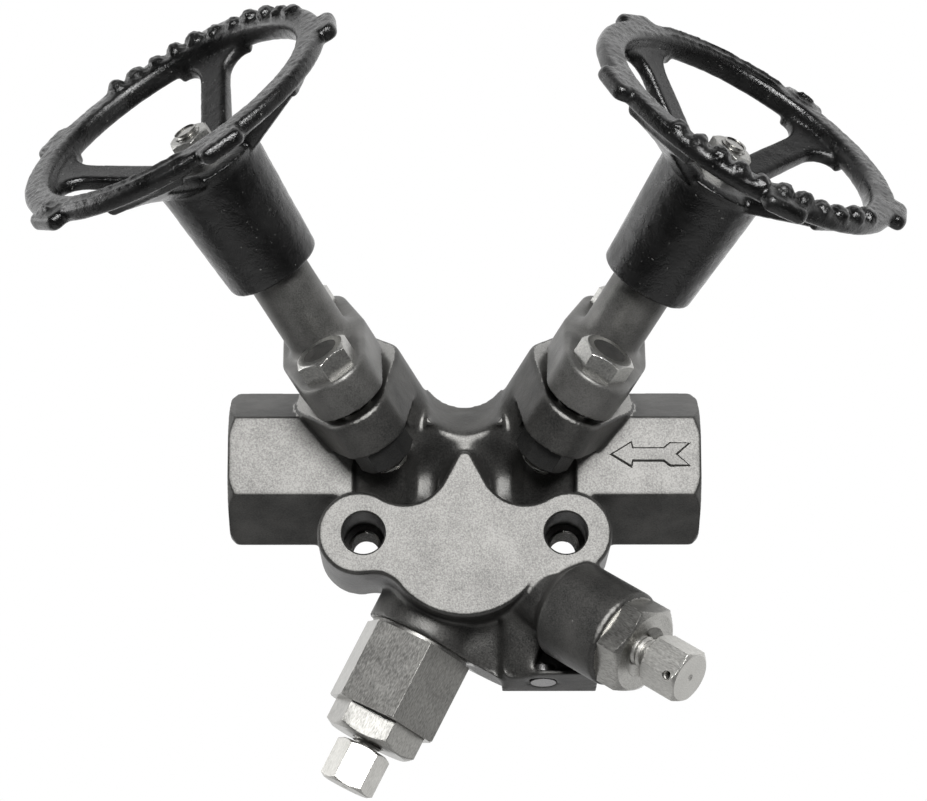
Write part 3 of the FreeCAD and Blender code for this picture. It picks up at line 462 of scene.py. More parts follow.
# The die's deeper hollows in mm: a scoop between the strainer foot and the web, and one hollow on each side
# of the ridge that runs up from the plate's tip.
hollow_depth = 4.5
scoop_centre = (9.5, -31.0, -33.0)
scoop_size = (6.5, 9.0, 8.0)
ridge_half = 4.5
flank_z = 17.0
flank_spread = 6.5
flank_reach = 15.0
flank_front = -38.0
flank_rear = -24.0
soften(body.data, 14, 0.5, 0.14, machined_seats)
soften(body.data, 60, 0.5, 0.5, beside_web)
soften(body.data, 80, 0.5, 0.5, off_saddle)
points = mesh_points(body.data)
front = np.clip(-mesh_normals(body.data)[:, 1] * 2.0, 0.0, 1.0)
scoop = np.exp(-(((points / MM - scoop_centre) / scoop_size) ** 2).sum(1))
points[:, 1] += hollow_depth * MM * scoop * front
x, y, z = (points / MM).T
flank = 1.0 - np.exp(-(x / ridge_half) ** 2)
flank *= np.exp(-((z - flank_z) / flank_spread) ** 2) * faded(flank_reach - np.abs(x), 3.0)
flank *= faded(y - flank_front, 1.5) * faded(flank_rear - y, 3.0)
points[:, 1] += hollow_depth * MM * flank * front
body.data.vertices.foreach_set("co", points.ravel())
body.data.update()
soften(body.data, 20, 0.5, 0.5, beside_web)
soften(body.data, 30, 0.5, 0.5, off_saddle)
cut_from(body, tools)
thinned(body, 190000)


def machined_faces(centres, normals):
    # Pipe end faces and bores, trap face, leg tops and the ends of the two small legs.
    picked = (np.abs(centres[:, 0]) > 59.5) & (np.abs(normals[:, 0]) > 0.9)
    picked |= (centres[:, 1] > -1.0) & (normals[:, 1] > 0.9)
    across = np.hypot(centres[:, 1] - pipe_centre.y / MM, centres[:, 2] - pipe_centre.z / MM)
    picked |= (np.abs(centres[:, 0]) > hex_start) & (across < mouth_radius + 0.15)
    for name, low, wide in (("inlet_valve_lift", 28.5, 27.0), ("outlet_valve_lift", 28.5, 27.0),
                            ("blowdown_lift", 26.6, 16.0), ("test_valve_lift", 54.3, 16.0)):
        axis = np.array(joints[name]["axis"])
        offset = centres - leg_starts[name]
        height = offset @ axis
        reach = np.sqrt(((offset - height[:, None] * axis) ** 2).sum(1))
        top = (height > low) & (height < low + 5.0) & (reach < wide) & (normals @ axis > 0.97)
        picked |= top & ((np.abs(centres[:, 0]) > 14.0) | (centres[:, 2] < 0.0))
    return picked


two_finishes(body, forging, bore_steel, machined_faces)
finished(body, forging, "station", "station_body")

# Flow arrow.
# Raised on the front flat of the inlet hexagon as part of the forging, with a steep edge that draws a dark
# outline round it; its top takes the forging's painted front light and the sloped edge does not.
arrow_foot = pipe_centre.y / MM - 17.4
arrow_proud = 0.75
arrow_slope = 0.55
arrow_z = 20.85
arrow_half = [(37.5, 0.0), (42.1, 2.85), (42.4, 1.45), (50.5, 1.45), (52.1, 2.75), (56.6, 2.75), (53.3, 0.0)]
arrow_outline = [Vector((x, z)) for x, z in arrow_half + [(x, -z) for x, z in reversed(arrow_half[1:-1])]]


def grown(outline, distance):
    # The outline moved outward by the same distance at every side.
    result = []
    for k, corner in enumerate(outline):
        before = (corner - outline[k - 1]).normalized()
        after = (outline[(k + 1) % len(outline)] - corner).normalized()
        out_before = Vector((-before.y, before.x))
        out_after = Vector((-after.y, after.x))
        share = distance / max(0.35, 1.0 + out_before.dot(out_after))
        result.append(corner + (out_before + out_after) * share)
    return result


work = bmesh.new()
low_ring = [work.verts.new((p.x * MM, (arrow_foot + 0.15) * MM, (arrow_z + p.y) * MM))
            for p in grown(arrow_outline, arrow_slope)]
high_ring = [work.verts.new((p.x * MM, (arrow_foot - arrow_proud) * MM, (arrow_z + p.y) * MM))
             for p in arrow_outline]
work.faces.new(high_ring)
work.faces.new(list(reversed(low_ring)))
for k in range(len(low_ring)):
    after = (k + 1) % len(low_ring)
    work.faces.new([low_ring[k], low_ring[after], high_ring[after], high_ring[k]])
bmesh.ops.recalc_face_normals(work, faces=work.faces)
arrow_mesh = bpy.data.meshes.new("flow_arrow")
work.to_mesh(arrow_mesh)
work.free()
arrow = placed("flow_arrow", arrow_mesh)
rounded = arrow.modifiers.new("rounded", "BEVEL")
rounded.width = 0.1 * MM
rounded.segments = 2
rounded.limit_method = "ANGLE"
applied(arrow)
finished(arrow, forging, "station", None, 20.0)

# Threads of the pipe ports and of the trap bolt holes.
# Cut into the forging: a 14 per inch pipe thread in each end, and the coarse metric thread of the trap's
# screws behind the clearance holes. Bare metal, so the crests catch the light in the dark bores.
def thread_mesh(pitch, root, crest, low, high, place=Matrix.Identity(4), steps=64, shape=0.35, opened=None):
    # One helical surface. Each flank takes the shape share of the pitch; opened(height) is the least radius.
    flat = (1.0 - 2.0 * shape) / 2.0
    levels = [(0.0, root), (flat, root), (flat + shape, crest), (2.0 * flat + shape, crest)]
    rows = []
    turns = int(math.ceil((high - low) / pitch)) + 2
    work = bmesh.new()
    for turn_number in range(-1, turns):
        for share, radius in levels:
            row = []
            for k in range(steps):
                angle = 2.0 * math.pi * k / steps
                height = low + (turn_number + share + k / steps) * pitch
                height = min(max(height, low), high)
                out = max(radius, opened(height)) if opened else radius
                spot = (out * MM * math.cos(angle), out * MM * math.sin(angle), height * MM)
                row.append(work.verts.new(spot))
            rows.append(row)
    step = len(levels)
    for r in range(len(rows) - 1 - step):
        for k in range(steps):
            if k + 1 < steps:
                corners = [rows[r][k], rows[r][k + 1], rows[r + 1][k + 1], rows[r + 1][k]]
            else:
                corners = [rows[r][k], rows[r + step][0], rows[r + 1 + step][0], rows[r + 1][k]]
            heights = [corner.co.z for corner in corners]
            if max(heights) - min(heights) > 1e-9:
                work.faces.new(corners)
    loose = [vert for vert in work.verts if not vert.link_faces]
    bmesh.ops.delete(work, geom=loose, context="VERTS")
    bmesh.ops.recalc_face_normals(work, faces=work.faces)
    work.transform(place)
    mesh = bpy.data.meshes.new("thread")
    work.to_mesh(mesh)
    work.free()
    return mesh


def port_chamfer(height):
    return mouth_radius - (half_length - height) * (mouth_radius - thread_minor) / mouth_depth


pipe_pitch = 25.4 / 14.0
for port, name in zip(port_frames, ("outlet_port_thread", "inlet_port_thread")):
    thread = placed(name, thread_mesh(pipe_pitch, thread_minor, thread_major, port_floor, half_length,
                                      Matrix.Identity(4), 96, 0.42, port_chamfer), port)
    finished(thread, bore_steel, "station", None)
bolt_threads = [thread_mesh(1.25, bolt_minor, bolt_major, hole_length + 0.6, bolt_depth - 0.1, hole, 48, 0.42)
                for hole in bolt_frames]
finished(placed("trap_bolt_threads", joined(bolt_threads)), bore_steel, "station", None)

# Drilling plug.
# A short steel plug that closes a drilling in the underside of the web, pressed in flush and left bare.
plug_steel = machined_steel("ground_plug_steel", "#77767a", "#a5a4a1", 0.35)
nodes["drilling_plug"].material_slots[0].material = plug_steel

# Sealing rings and lantern bushes.
# Two graphite rings per valve, wound and pressed, with a perforated stainless bush between them.
graphite = blank_material("pressed_graphite")
where = add_node(graphite, "ShaderNodeTexCoord").outputs["Object"]
flakes = add_node(graphite, "ShaderNodeTexNoise", {"Scale": 1.0 / (0.5 * MM), "Detail": 4.0},
                  {"Vector": where})
flake_bump = add_node(graphite, "ShaderNodeBump", {"Strength": 0.4, "Distance": 0.05 * MM},
                      {"Height": flakes.outputs["Fac"]})
flake_colour = add_node(graphite, "ShaderNodeValToRGB", {"stops": [(0.35, "#232325"), (0.65, "#3b3b3d")]},
                        {"Fac": flakes.outputs["Fac"]})
shader = add_node(graphite, "ShaderNodeBsdfPrincipled", {"Roughness": 0.55, "Metallic": 0.2},
                  {"Base Color": flake_colour.outputs["Color"], "Normal": flake_bump.outputs["Normal"]})
add_node(graphite, "ShaderNodeOutputMaterial", links={"Surface": shader.outputs[0]})
stainless = machined_steel("turned_stainless_steel", "#8c8b88", "#b4b3b0", 0.3)
for valve in ("inlet", "outlet"):
    nodes[valve + "_lower_sealing_ring"].material_slots[0].material = graphite
    nodes[valve + "_upper_sealing_ring"].material_slots[0].material = graphite
    nodes[valve + "_lantern_bush"].material_slots[0].material = stainless

# Pistons and their pins.
# Ground and polished stainless pistons that slide in the graphite rings, each held on its stem by two pins.
ground_stainless = machined_steel("ground_stainless_steel", "#9b9a98", "#bebdba", 0.25, None, 0.14, 0.24)
for valve in ("inlet", "outlet"):
    nodes[valve + "_piston"].material_slots[0].material = ground_stainless
    nodes[valve + "_piston_pins"].material_slots[0].material = stainless

# Valve stems.
# Turned stainless stems with a 3 mm lead thread in the bonnet and a metric end thread for the wheel nut. The
# flats that drive the wheel are hidden in its hub and left round here.
valve_places = {}
wheel_places = {}
closed_height = 49.0
lifts = {"inlet": 12.3, "outlet": 16.3}
wheel_turns = {"inlet": 9.0, "outlet": 50.0}
bolt_angle = math.radians(-10.0)
for valve, side in (("inlet", 1.0), ("outlet", -1.0)):
    axis = Vector(joints[valve + "_valve_lift"]["axis"])
    start = Vector(joints[valve + "_valve_lift"]["pos_m"])
    front = axis.cross(Vector((1, 0, 0))).normalized()
    front = front if front.y < 0 else -front
    outward = front.cross(axis)
    outward = outward if outward.x * side > 0 else -outward
    across = front * math.cos(bolt_angle) + outward * math.sin(bolt_angle)
    valve_places[valve] = local_frame(start, axis, across)
    wheel_angle = math.radians(wheel_turns[valve])
    wheel_start = start + axis * (closed_height + lifts[valve]) * MM
    across = front * math.cos(wheel_angle) + outward * math.sin(wheel_angle)
    wheel_places[valve] = local_frame(wheel_start, axis, across)

stem_profile = [(0, -27.1), (3.0, -27.1), (3.0, -25.65), (1.6, -25.65), (1.6, -23.35), (3.0, -23.35),
                (3.0, -19.1), (3.9, -19.1), (3.9, 26.5), (3.2, 26.5), (3.2, 34.5), (2.45, 34.5),
                (2.45, 42.6), (0, 42.6)]
for valve in ("inlet", "outlet"):
    place = wheel_places[valve]
    lead = thread_mesh(3.0, 4.0, 5.0, -18.8, 26.5, Matrix.Identity(4), 48, 0.2)
    end = thread_mesh(1.0, 2.5, 3.0, 35.5, 43.0, Matrix.Identity(4), 40, 0.4)
    stem = placed(valve + "_threaded_stem", joined([turned_mesh(stem_profile, steps=48), lead, end]), place)
    finished(stem, stainless, valve + "_wheel_set", valve + "_stem")

# Bonnets.
# Forged steel flanges with a tall round neck that carries the stem thread. The skin is the body's grey coat
# over a finer blasted surface, and the seats of the screw heads are spot-faced.
bonnet_coat = phosphated_forging("phosphated_bonnet_steel", "#50504e", "#747371", 0.36)
bonnet_top = 42.0
screw_reach = 18.5


def bonnet_seats(points):
    held = np.zeros(len(points))
    reach = np.hypot(points[:, 0], points[:, 1])
    held[points[:, 2] < 33.2 * MM] = 1.0
    held[(points[:, 2] > 72.0 * MM) | (reach < 6.8 * MM)] = 1.0
    bolt = np.hypot(np.abs(points[:, 0]) - screw_reach * MM, points[:, 1])
    held[(bolt < 7.4 * MM) & (points[:, 2] > (bonnet_top - 0.6) * MM)] = 1.0
    return held


for valve in ("inlet", "outlet"):
    place = valve_places[valve]
    bonnet = remeshed(valve + "_forged_bonnet", merged_copy(valve + "_bonnet", place), 0.36, place)
    soften(bonnet.data, 10, 0.5, 0.22, bonnet_seats)
    thinned(bonnet, 90000)
    finished(bonnet, bonnet_coat, "station", valve + "_bonnet")

# Bonnet screws and nuts.
# Zinc-plated hexagon screws, cold-headed with a shallow dish in the head that is painted dark as shade, and
# nuts below the flange painted near black as the shade they sit in.
zinc = machined_steel("zinc_plated_steel", "#8f8f8d", "#bcbbb7", 0.5, None, 0.3, 0.46)
# Painted shade: the nuts sit in the shade under the flange, and their near-black colour paints that shade.
shaded_nut_paint = phosphated_forging("nut_steel_painted_shade", "#262626", "#3c3c3b", 0.3)
head_flats = 13.0
under = 19.5


def hexagon_side(flats, low, high, low_chamfer, high_chamfer, face_share=0.96):
    # Outer side of a hexagon, its corners turned off at 30 degrees.
    corner = flats / math.sqrt(3.0) + 0.2
    face = flats / 2.0 * face_share
    rise = (corner - face) * math.tan(math.radians(30.0))
    points = [(face, low), (corner, low + rise)] if low_chamfer else [(corner, low)]
    points += [(corner, high - rise), (face, high)] if high_chamfer else [(corner, high)]
    return points


head_top = bonnet_top + 5.3
head_profile = [(0, under - 8.4), (2.9, under - 8.4), (3.3, under - 8.0), (3.3, under - 6.3),
                (3.95, under - 6.3), (3.95, bonnet_top + 0.01)]
head_profile += hexagon_side(head_flats, bonnet_top, head_top, False, True)
head_profile += [(4.5, head_top), (4.2, bonnet_top + 5.2), (3.4, bonnet_top + 4.72),
                 (2.2, bonnet_top + 4.55), (0, bonnet_top + 4.5)]
nut_profile = [(4.05, under), (4.05, under - 6.5)] + hexagon_side(head_flats, under - 6.5, under, True, False)


def in_shaded_dish(centres, normals):
    # The hollow of a screw head, given the dark forging colour as painted shade.
    reach = np.hypot(np.abs(centres[:, 0]) - screw_reach, centres[:, 1])
    return (centres[:, 2] > bonnet_top + 4.3) & (reach < 4.35)


head_turns = {"inlet": 30.0, "outlet": 50.0}
for valve in ("inlet", "outlet"):
    place = valve_places[valve]
    screws = []
    nuts = []
    for bolt in (-screw_reach, screw_reach):
        shift = Matrix.Translation((bolt * MM, 0, 0))
        screws.append(turned_mesh(head_profile, shift, 48, head_flats, head_turns[valve]))
        screws.append(thread_mesh(1.25, 3.35, 4.0, under - 8.7, under + 2.0, shift, 40, 0.42))
        nuts.append(turned_mesh(nut_profile, shift, 48, head_flats, 30.0))
    piece = placed(valve + "_hexagon_screws", joined(screws), place)
    # The dish faces take the dark forging colour as painted shade.
    two_finishes(piece, zinc, forging, in_shaded_dish)
    finished(piece, zinc, "station", valve + "_bonnet_screws", 28.0)
    piece = placed(valve + "_hexagon_nuts", joined(nuts), place)
    finished(piece, shaded_nut_paint, "station", valve + "_bonnet_nuts", 28.0)

# Handwheels.
# Sand-cast iron wheels with five lobes, four spokes and a long skirt over the bonnet neck, dipped in gloss
# black enamel, so the sand's grit shows through the coat and breaks its highlights.
enamel = blank_material("black_enamel_on_cast_iron")
where = add_node(enamel, "ShaderNodeTexCoord").outputs["Object"]
grit = add_node(enamel, "ShaderNodeTexNoise", {"Scale": 1.0 / (0.6 * MM), "Detail": 4.0, "Roughness": 0.65},
                {"Vector": where})
patches = add_node(enamel, "ShaderNodeTexNoise", {"Scale": 1.0 / (7.0 * MM), "Detail": 3.0},
                   {"Vector": where})
# Small pale grey flecks scattered at random over the black coat.
fleck_noise = add_node(enamel, "ShaderNodeTexNoise", {"Scale": 1.0 / (1.1 * MM), "Detail": 5.0, "Roughness": 0.7},
                 {"Vector": where})
coat = add_node(enamel, "ShaderNodeValToRGB", {"stops": [(0.35, "#040404"), (0.7, "#0b0b0b")]},
                {"Fac": patches.outputs["Fac"]})
fleck_share = add_node(enamel, "ShaderNodeMapRange",
                {"From Min": 0.66, "From Max": 0.7, "To Min": 0.0, "To Max": 1.0},
                {"Value": fleck_noise.outputs["Fac"]})
paint = add_node(enamel, "ShaderNodeMix", {"data_type": "RGBA"},
                 {0: fleck_share.outputs["Result"], 6: coat.outputs["Color"]})
paint.inputs[7].default_value = linear("#6e6e6c")
gloss = add_node(enamel, "ShaderNodeMapRange",
                 {"From Min": 0.3, "From Max": 0.75, "To Min": 0.16, "To Max": 0.4},
                 {"Value": patches.outputs["Fac"]})
skin = add_node(enamel, "ShaderNodeBump", {"Strength": 0.7, "Distance": 0.2 * MM},
                {"Height": grit.outputs["Fac"]})
shader = add_node(enamel, "ShaderNodeBsdfPrincipled", {"IOR": 1.52},
                  {"Base Color": paint.outputs[2], "Roughness": gloss.outputs["Result"],
                   "Normal": skin.outputs["Normal"]})
add_node(enamel, "ShaderNodeOutputMaterial", links={"Surface": shader.outputs[0]})
rim_top = 50.2
knob_count = 11
knob_step = 8.6
knob_reach = 39.4
line_reaches = (37.4, 40.6)


def rim_knob(angle, radius, along, across, proud):
    # A rounded knob on the top of the rim.
    work = bmesh.new()
    bmesh.ops.create_uvsphere(work, u_segments=16, v_segments=10, radius=1.0)
    size = Matrix.Diagonal((across * MM, along * MM, proud * MM, 1.0))
    out = Matrix.Translation((radius * MM, 0, (rim_top - 0.4) * MM))
    work.transform(Matrix.Rotation(math.radians(angle), 4, "Z") @ out @ size)
    mesh = bpy.data.meshes.new("knob")
    work.to_mesh(mesh)
    work.free()
    return mesh


def wheel_seats(points):
    held = np.zeros(len(points))
    reach = np.hypot(points[:, 0], points[:, 1])
    held[(points[:, 2] > 35.2 * MM) & (reach < 9.0 * MM)] = 1.0
    held[reach < 4.6 * MM] = 1.0
    return held


def cast_wheel(name, knobs_from, lines_from, seed):
    # Remeshed to an even skin, eased like a sand casting, then given its raised lines, ring mark and grit.
    relief = []
    for k in range(knob_count):
        wide = 2.7 + 0.4 * math.sin(2.1 * k + seed)
        proud = 2.5 + 0.4 * math.cos(1.7 * k + seed)
        relief.append(rim_knob(knobs_from + knob_step * k, knob_reach, wide, 3.0, proud))
    relief.append(rim_knob(lines_from - 1.0, 42.4, 3.0, 1.3, 1.5))
    wheel_frame = wheel_places["inlet"]
    wheel = remeshed(name, joined([merged_copy("inlet_handwheel", wheel_frame)] + relief), 0.42)
    soften(wheel.data, 12, 0.5, 0.22, wheel_seats)
    points = mesh_points(wheel.data)
    normals = mesh_normals(wheel.data)
    keep = wheel_seats(points)
    shift = Vector((seed, 0, 0))
    waves = np.array([noise.fractal(Vector(p) / (2.4 * MM) + shift, 0.9, 2.1, 3) for p in points])
    lift = waves * 0.07
    rough_part = np.clip((points[:, 2] / MM - rim_top + 0.5) / 0.8, 0.0, 1.0)
    lift += rough_part * 0.3 * np.array([noise.noise(Vector(p) / (1.1 * MM)) for p in points])
    reach = np.hypot(points[:, 0], points[:, 1]) / MM
    angle = np.degrees(np.arctan2(points[:, 1], points[:, 0])) - lines_from
    angle = (angle + 180.0) % 360.0 - 180.0
    on_top = np.clip((normals[:, 2] - 0.5) / 0.3, 0.0, 1.0) * (points[:, 2] > 47.0 * MM)
    along = np.clip((angle - 7.0) / 3.0, 0.0, 1.0) * np.clip((62.0 - angle) / 3.0, 0.0, 1.0)
    for line in line_reaches:
        lift += 0.55 * np.exp(-((reach - line) / 0.5) ** 2) * along * on_top
    ring = np.hypot(angle / 180.0 * math.pi * 41.0 / 3.0, (reach - 40.6) / 1.7)
    lift += 0.5 * np.exp(-((ring - 1.0) / 0.25) ** 2) * on_top
    points += normals * (lift * MM * (1.0 - keep))[:, None]
    wheel.data.vertices.foreach_set("co", points.ravel())
    wheel.data.update()
    thinned(wheel, 160000)
    return wheel


for valve, knobs_from, lines_from, seed in (("inlet", 316.0, 144.0, 3.0), ("outlet", 172.0, 0.0, 8.0)):
    wheel = cast_wheel(valve + "_cast_handwheel", knobs_from, lines_from, seed)
    wheel.matrix_world = wheel_places[valve]
    finished(wheel, enamel, valve + "_wheel_set", valve + "_handwheel", 60.0)

# Wheel washers and nuts.
# Plated washers, and hexagon nuts that hold the wheels on their stems.
washer_profile = [(3.2, 35.5), (6.1, 35.5), (6.2, 35.6), (6.2, 36.55), (6.05, 36.7), (3.3, 36.7), (3.2, 36.6)]
wheel_nut_profile = [(3.05, 36.7)] + hexagon_side(10.0, 36.7, 41.7, False, True) + [(3.4, 41.7), (3.05, 41.4)]
for valve in ("inlet", "outlet"):
    place = wheel_places[valve]
    washer = placed(valve + "_round_washer", turned_mesh(washer_profile, steps=64), place)
    finished(washer, zinc, valve + "_wheel_set", valve + "_wheel_washer", 28.0)
    nut = placed(valve + "_hexagon_wheel_nut", turned_mesh(wheel_nut_profile, flats=10.0), place)
    finished(nut, zinc, valve + "_wheel_set", valve + "_wheel_nut", 28.0)

# Strainer screen and cap gasket.
# A perforated stainless tube inside the leg, and a thin metal gasket between the leg and the cap.
nodes["strainer_screen"].material_slots[0].material = stainless
gasket_steel = machined_steel("soft_steel_gasket", "#5f5e5c", "#858481", 0.3, None, 0.35, 0.5)
nodes["strainer_cap_gasket"].material_slots[0].material = gasket_steel

# Strainer cap and gland nut.
# Machined from drawn hexagon bar: the large cap holds the screen and the ball seat, and the gland nut screwed
# into its end guides the stem. Drawn flats show fine lengthwise lines.
drawn_steel = machined_steel("drawn_hexagon_steel", "#858481", "#b0afab", 0.3, (1.0, 1.0, 0.3), 0.3, 0.42)
leg_start = Vector(leg_starts["blowdown_lift"]) * MM
leg_place = local_frame(leg_start, joints["blowdown_lift"]["axis"], (0, -1, 0))
cap_low = 28.2
cap_high = 49.5
cap_profile = [(7.8, 15.7), (10.2, 15.7), (10.4, 15.9), (10.4, cap_low)]
cap_profile += hexagon_side(26.4, cap_low, cap_high, False, True, 1.1)
cap_profile += [(8.3, cap_high), (8.1, cap_high - 0.2), (8.1, cap_high - 5.3), (4.6, cap_high - 5.3),
                (4.6, 39.0), (2.2, 36.6), (2.2, 35.2), (7.8, 35.2)]
cap = placed("hexagon_strainer_cap", turned_mesh(cap_profile, flats=26.4, turn=-14.0), leg_place)
finished(cap, drawn_steel, "station", "strainer_cap", 28.0)
gland_profile = [(4.07, 44.5), (7.8, 44.5), (8.0, 44.7), (8.0, cap_high)]
gland_profile += hexagon_side(21.8, cap_high, cap_high + 6.8, False, True)
gland_profile += [(4.6, cap_high + 6.8), (4.07, cap_high + 6.3)]
gland = placed("hexagon_gland_nut", turned_mesh(gland_profile, flats=21.8, turn=38.0), leg_place)
finished(gland, drawn_steel, "station", "blowdown_gland_nut", 28.0)

# Blowdown stem, test valve stem and their balls.
# Small stems of hexagon bar with a fine thread in the nut, a turned neck, a cross-drilled drain and a steel
# ball in a cup at the inner end. Paler and more matt than the nuts.
bright_steel = machined_steel("bright_hexagon_steel", "#aaa9a5", "#cecdc9", 0.3, (1.0, 1.0, 0.3), 0.42, 0.54)


def small_stem_mesh(ball_z, face_z, gap, turn):
    head_low = face_z + gap
    head_high = head_low + 11.0
    neck = face_z + gap / 2.0
    profile = [(0, ball_z + 3.0), (2.4, ball_z + 1.9), (3.1, ball_z + 0.7), (3.3, ball_z + 0.6),
               (3.45, ball_z + 1.0), (3.45, neck - 0.3), (3.2, neck), (3.2, head_low)]
    profile += hexagon_side(12.7, head_low, head_high, True, True)
    profile += [(1.0, head_high), (0.5, head_high - 0.35), (0, head_high - 0.4)]
    bar = turned_mesh(profile, flats=12.7, turn=turn)
    thread = thread_mesh(1.5, 3.45, 4.0, ball_z + 1.0, neck, Matrix.Identity(4), 48, 0.4)
    return bar, thread, head_low


def small_stem(name, place, ball_z, face_z, gap, turn, drain, body, node):
    bar, thread, head_low = small_stem_mesh(ball_z, face_z, gap, turn)
    piece = placed(name, bar, place)
    up = Matrix.Translation((0, 0, (head_low + 8.6) * MM))
    aim = Matrix.Rotation(math.radians(turn + drain), 4, "Z") @ up
    drill = place @ aim @ Matrix.Rotation(math.radians(90.0), 4, "Y")
    hole_profile = [(0, 0.5), (1.0, 0.5), (1.0, 6.0), (1.2, 6.3), (1.2, 9.0), (0, 9.0)]
    cut_from(piece, [turned_mesh(hole_profile, drill, 32)])
    piece.data = joined([piece.data, thread])
    finished(piece, bright_steel, body, node, 28.0)


def ball_height(place, ball):
    # Where a packed ball sits along the axis of its stem, in mm.
    box_low, box_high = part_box(ball)
    centre = (Vector(box_low) + Vector(box_high)) / 2.0
    return (place.inverted() @ centre).z / MM


small_stem("blowdown_hexagon_stem", leg_place, ball_height(leg_place, "blowdown_ball"), cap_high + 6.8, 1.6,
           26.0, 150.0, "blowdown_stem_set", "blowdown_stem")
test_start = Vector(leg_starts["test_valve_lift"]) * MM
test_place = local_frame(test_start, joints["test_valve_lift"]["axis"], (0, 0, 1))
test_face = 61.6
small_stem("test_hexagon_stem", test_place, ball_height(test_place, "test_valve_ball"), test_face, 3.4,
           41.0, 60.0, "test_stem_set", "test_valve_stem")
nodes["blowdown_ball"].material_slots[0].material = ground_stainless
nodes["test_valve_ball"].material_slots[0].material = ground_stainless

# Test valve seat and nut.
# The seat ring is pressed into the test leg, and the hexagon nut that holds it is turned on its outer face.
nodes["test_valve_seat"].material_slots[0].material = stainless
test_profile = [(4.6, 44.5), (8.3, 44.5), (8.5, 44.7), (8.5, 55.0)]
test_profile += hexagon_side(21.4, 55.0, test_face, False, True)
test_profile += [(6.8, test_face), (6.5, 61.2), (4.6, 60.3), (4.07, 60.0), (4.07, 47.5), (4.6, 47.5)]
test_nut = placed("hexagon_test_nut", turned_mesh(test_profile, flats=21.4, turn=40.0), test_place)
finished(test_nut, drawn_steel, "station", "test_valve_nut", 28.0)

# Studio.
# A pale matt floor well below the part, a key lamp in front and a little to the right, and a weak lamp at the
# left side. The eye and glossy or clear surfaces see the floor pale; other rays see it as it is lit.
floor_z = -0.9
floor_mesh = bpy.data.meshes.new("floor")
span = 0.6
corners = [(-span, -span, floor_z), (span, -span, floor_z), (span, span, floor_z), (-span, span, floor_z)]
floor_mesh.from_pydata(corners, [], [(0, 1, 2, 3)])
floor = bpy.data.objects.new("floor", floor_mesh)
bpy.context.scene.collection.objects.link(floor)
pale = blank_material("pale_matt_floor")
pale_where = add_node(pale, "ShaderNodeTexCoord").outputs["Object"]
pale_mottle = add_node(pale, "ShaderNodeTexNoise", {"Scale": 9.0, "Detail": 2.0}, {"Vector": pale_where})
pale_colour = add_node(pale, "ShaderNodeValToRGB", {"stops": [(0.3, "#e4e3e0"), (0.7, "#eae9e6")]},
                       {"Fac": pale_mottle.outputs["Fac"]})
pale_shader = add_node(pale, "ShaderNodeBsdfPrincipled", {"Roughness": 0.9},
                       {"Base Color": pale_colour.outputs["Color"]})
pale_path = add_node(pale, "ShaderNodeLightPath")
pale_glossy = add_node(pale, "ShaderNodeMath", {"operation": "MAXIMUM"},
                       {0: pale_path.outputs["Is Glossy Ray"], 1: pale_path.outputs["Is Transmission Ray"]})
pale_seen = add_node(pale, "ShaderNodeMath", {"operation": "MAXIMUM"},
                     {0: pale_glossy.outputs[0], 1: pale_path.outputs["Is Camera Ray"]})
pale_share = add_node(pale, "ShaderNodeMath", {"operation": "MULTIPLY", 1: 0.75}, {0: pale_seen.outputs[0]})
pale_glow = add_node(pale, "ShaderNodeEmission", {"Color": linear("#ffffff"), "Strength": 1.0})
pale_mix = add_node(pale, "ShaderNodeMixShader", {},
                    {0: pale_share.outputs[0], 1: pale_shader.outputs[0], 2: pale_glow.outputs[0]})
add_node(pale, "ShaderNodeOutputMaterial", links={"Surface": pale_mix.outputs[0]})
floor_mesh.materials.append(pale)

# The eye sees a white surround. Glossy surfaces mirror one that is dark in front and below and pale behind,
# as before a lit backdrop, and everything else gets a faint even light from it.
world = bpy.data.worlds.new("studio")
bpy.context.scene.world = world
world.use_nodes = True
world.node_tree.nodes.clear()
path = add_node(world, "ShaderNodeLightPath")
aim_at = add_node(world, "ShaderNodeTexCoord")
parts = add_node(world, "ShaderNodeSeparateXYZ", {}, {0: aim_at.outputs["Generated"]})
behind = add_node(world, "ShaderNodeMapRange",
                  {"From Min": -0.35, "From Max": 0.25, "To Min": 0.0, "To Max": 1.2},
                  {"Value": parts.outputs["Y"]})
level = add_node(world, "ShaderNodeMapRange",
                 {"From Min": -0.75, "From Max": -0.35, "To Min": 0.0, "To Max": 1.0},
                 {"Value": parts.outputs["Z"]})
around = add_node(world, "ShaderNodeMath", {"operation": "MULTIPLY_ADD", 2: 0.06},
                  {0: behind.outputs[0], 1: level.outputs[0]})
seen = add_node(world, "ShaderNodeMath", {"operation": "MAXIMUM"},
                {0: path.outputs["Is Glossy Ray"], 1: path.outputs["Is Transmission Ray"]})
soft = add_node(world, "ShaderNodeBackground", {"Color": linear("#ffffff"), "Strength": 0.1})
mirrored = add_node(world, "ShaderNodeBackground", {"Color": linear("#ffffff")},
                    {"Strength": around.outputs[0]})
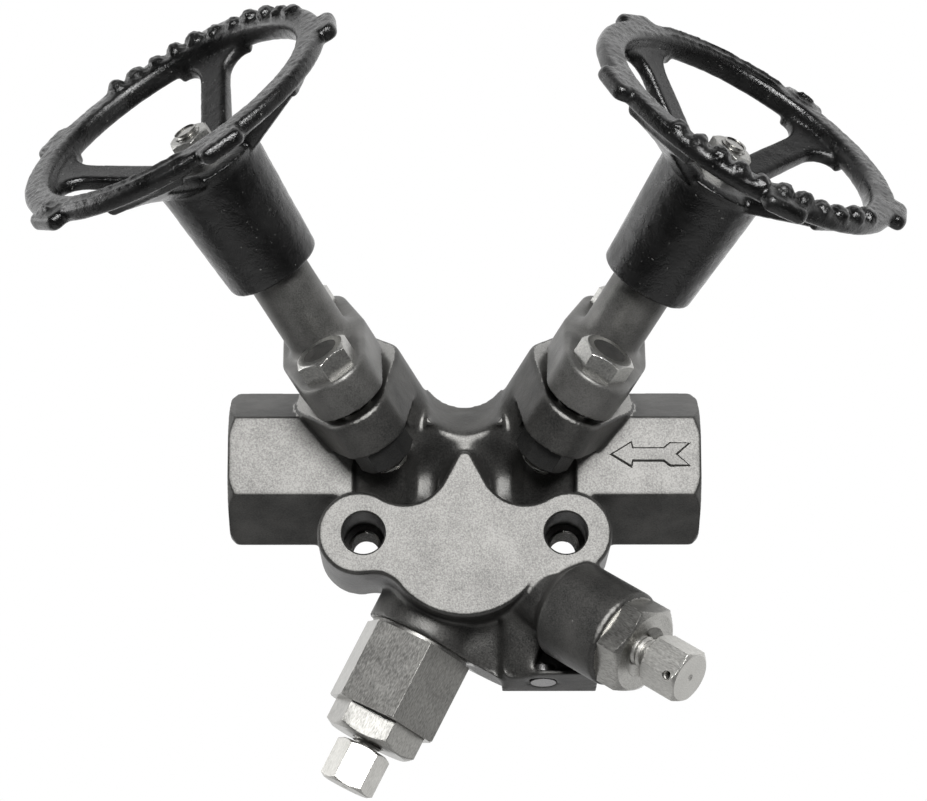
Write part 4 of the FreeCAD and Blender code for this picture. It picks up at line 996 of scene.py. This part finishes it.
white = add_node(world, "ShaderNodeBackground", {"Color": linear("#ffffff"), "Strength": 1.0})
both = add_node(world, "ShaderNodeMixShader", {},
                {0: seen.outputs[0], 1: soft.outputs[0], 2: mirrored.outputs[0]})
both = add_node(world, "ShaderNodeMixShader", {},
                {0: path.outputs["Is Camera Ray"], 1: both.outputs[0], 2: white.outputs[0]})
add_node(world, "ShaderNodeOutputWorld", links={"Surface": both.outputs[0]})

lamps = (("key", (0.12, -1.10, 0.28), 0.45, 3.4), ("side", (-1.1, 0.12, 0.3), 0.5, 0.5))
lamp_target = Vector((0, -0.03, 0.03))
for name, at, size, power in lamps:
    lamp = bpy.data.lights.new(name, "AREA")
    lamp.shape = "DISK"
    lamp.size = size
    lamp.energy = power
    lamp.spread = math.radians(70.0)
    holder = bpy.data.objects.new(name, lamp)
    holder.location = at
    holder.rotation_mode = "QUATERNION"
    holder.rotation_quaternion = (lamp_target - Vector(at)).to_track_quat("-Z", "Y")
    bpy.context.scene.collection.objects.link(holder)

# Camera.
# Below the pipe line, looking slightly up at the front of the part. Its angles and aim were fitted to the
# photograph; the distance in metres is a round number that goes with the focal length in pixels.
photo_width = 927.0
focal_pixels = 3489.0
distance = 0.9
camera_data = bpy.data.cameras.new("camera")
camera_data.sensor_width = 36.0
camera_data.sensor_fit = "HORIZONTAL"
camera_data.lens = 36.0 * focal_pixels / photo_width
camera_data.clip_start = 0.01
camera_data.clip_end = 20.0
camera = bpy.data.objects.new("camera", camera_data)
bpy.context.scene.collection.objects.link(camera)
azimuth = math.radians(-0.2)
elevation = math.radians(-12.07)
roll = math.radians(-0.08)
aim = Vector((-0.19, -21.69, 37.77)) * MM
flat = math.cos(elevation)
back = Vector((math.sin(azimuth) * flat, -math.cos(azimuth) * flat, math.sin(elevation)))
camera.location = aim + back * distance
camera.rotation_mode = "QUATERNION"
upright = (-back).to_track_quat("-Z", "Y")
camera.rotation_quaternion = upright @ Matrix.Rotation(roll, 4, "Z").to_quaternion()
bpy.context.scene.camera = camera
bpy.context.scene.view_settings.view_transform = "Standard"
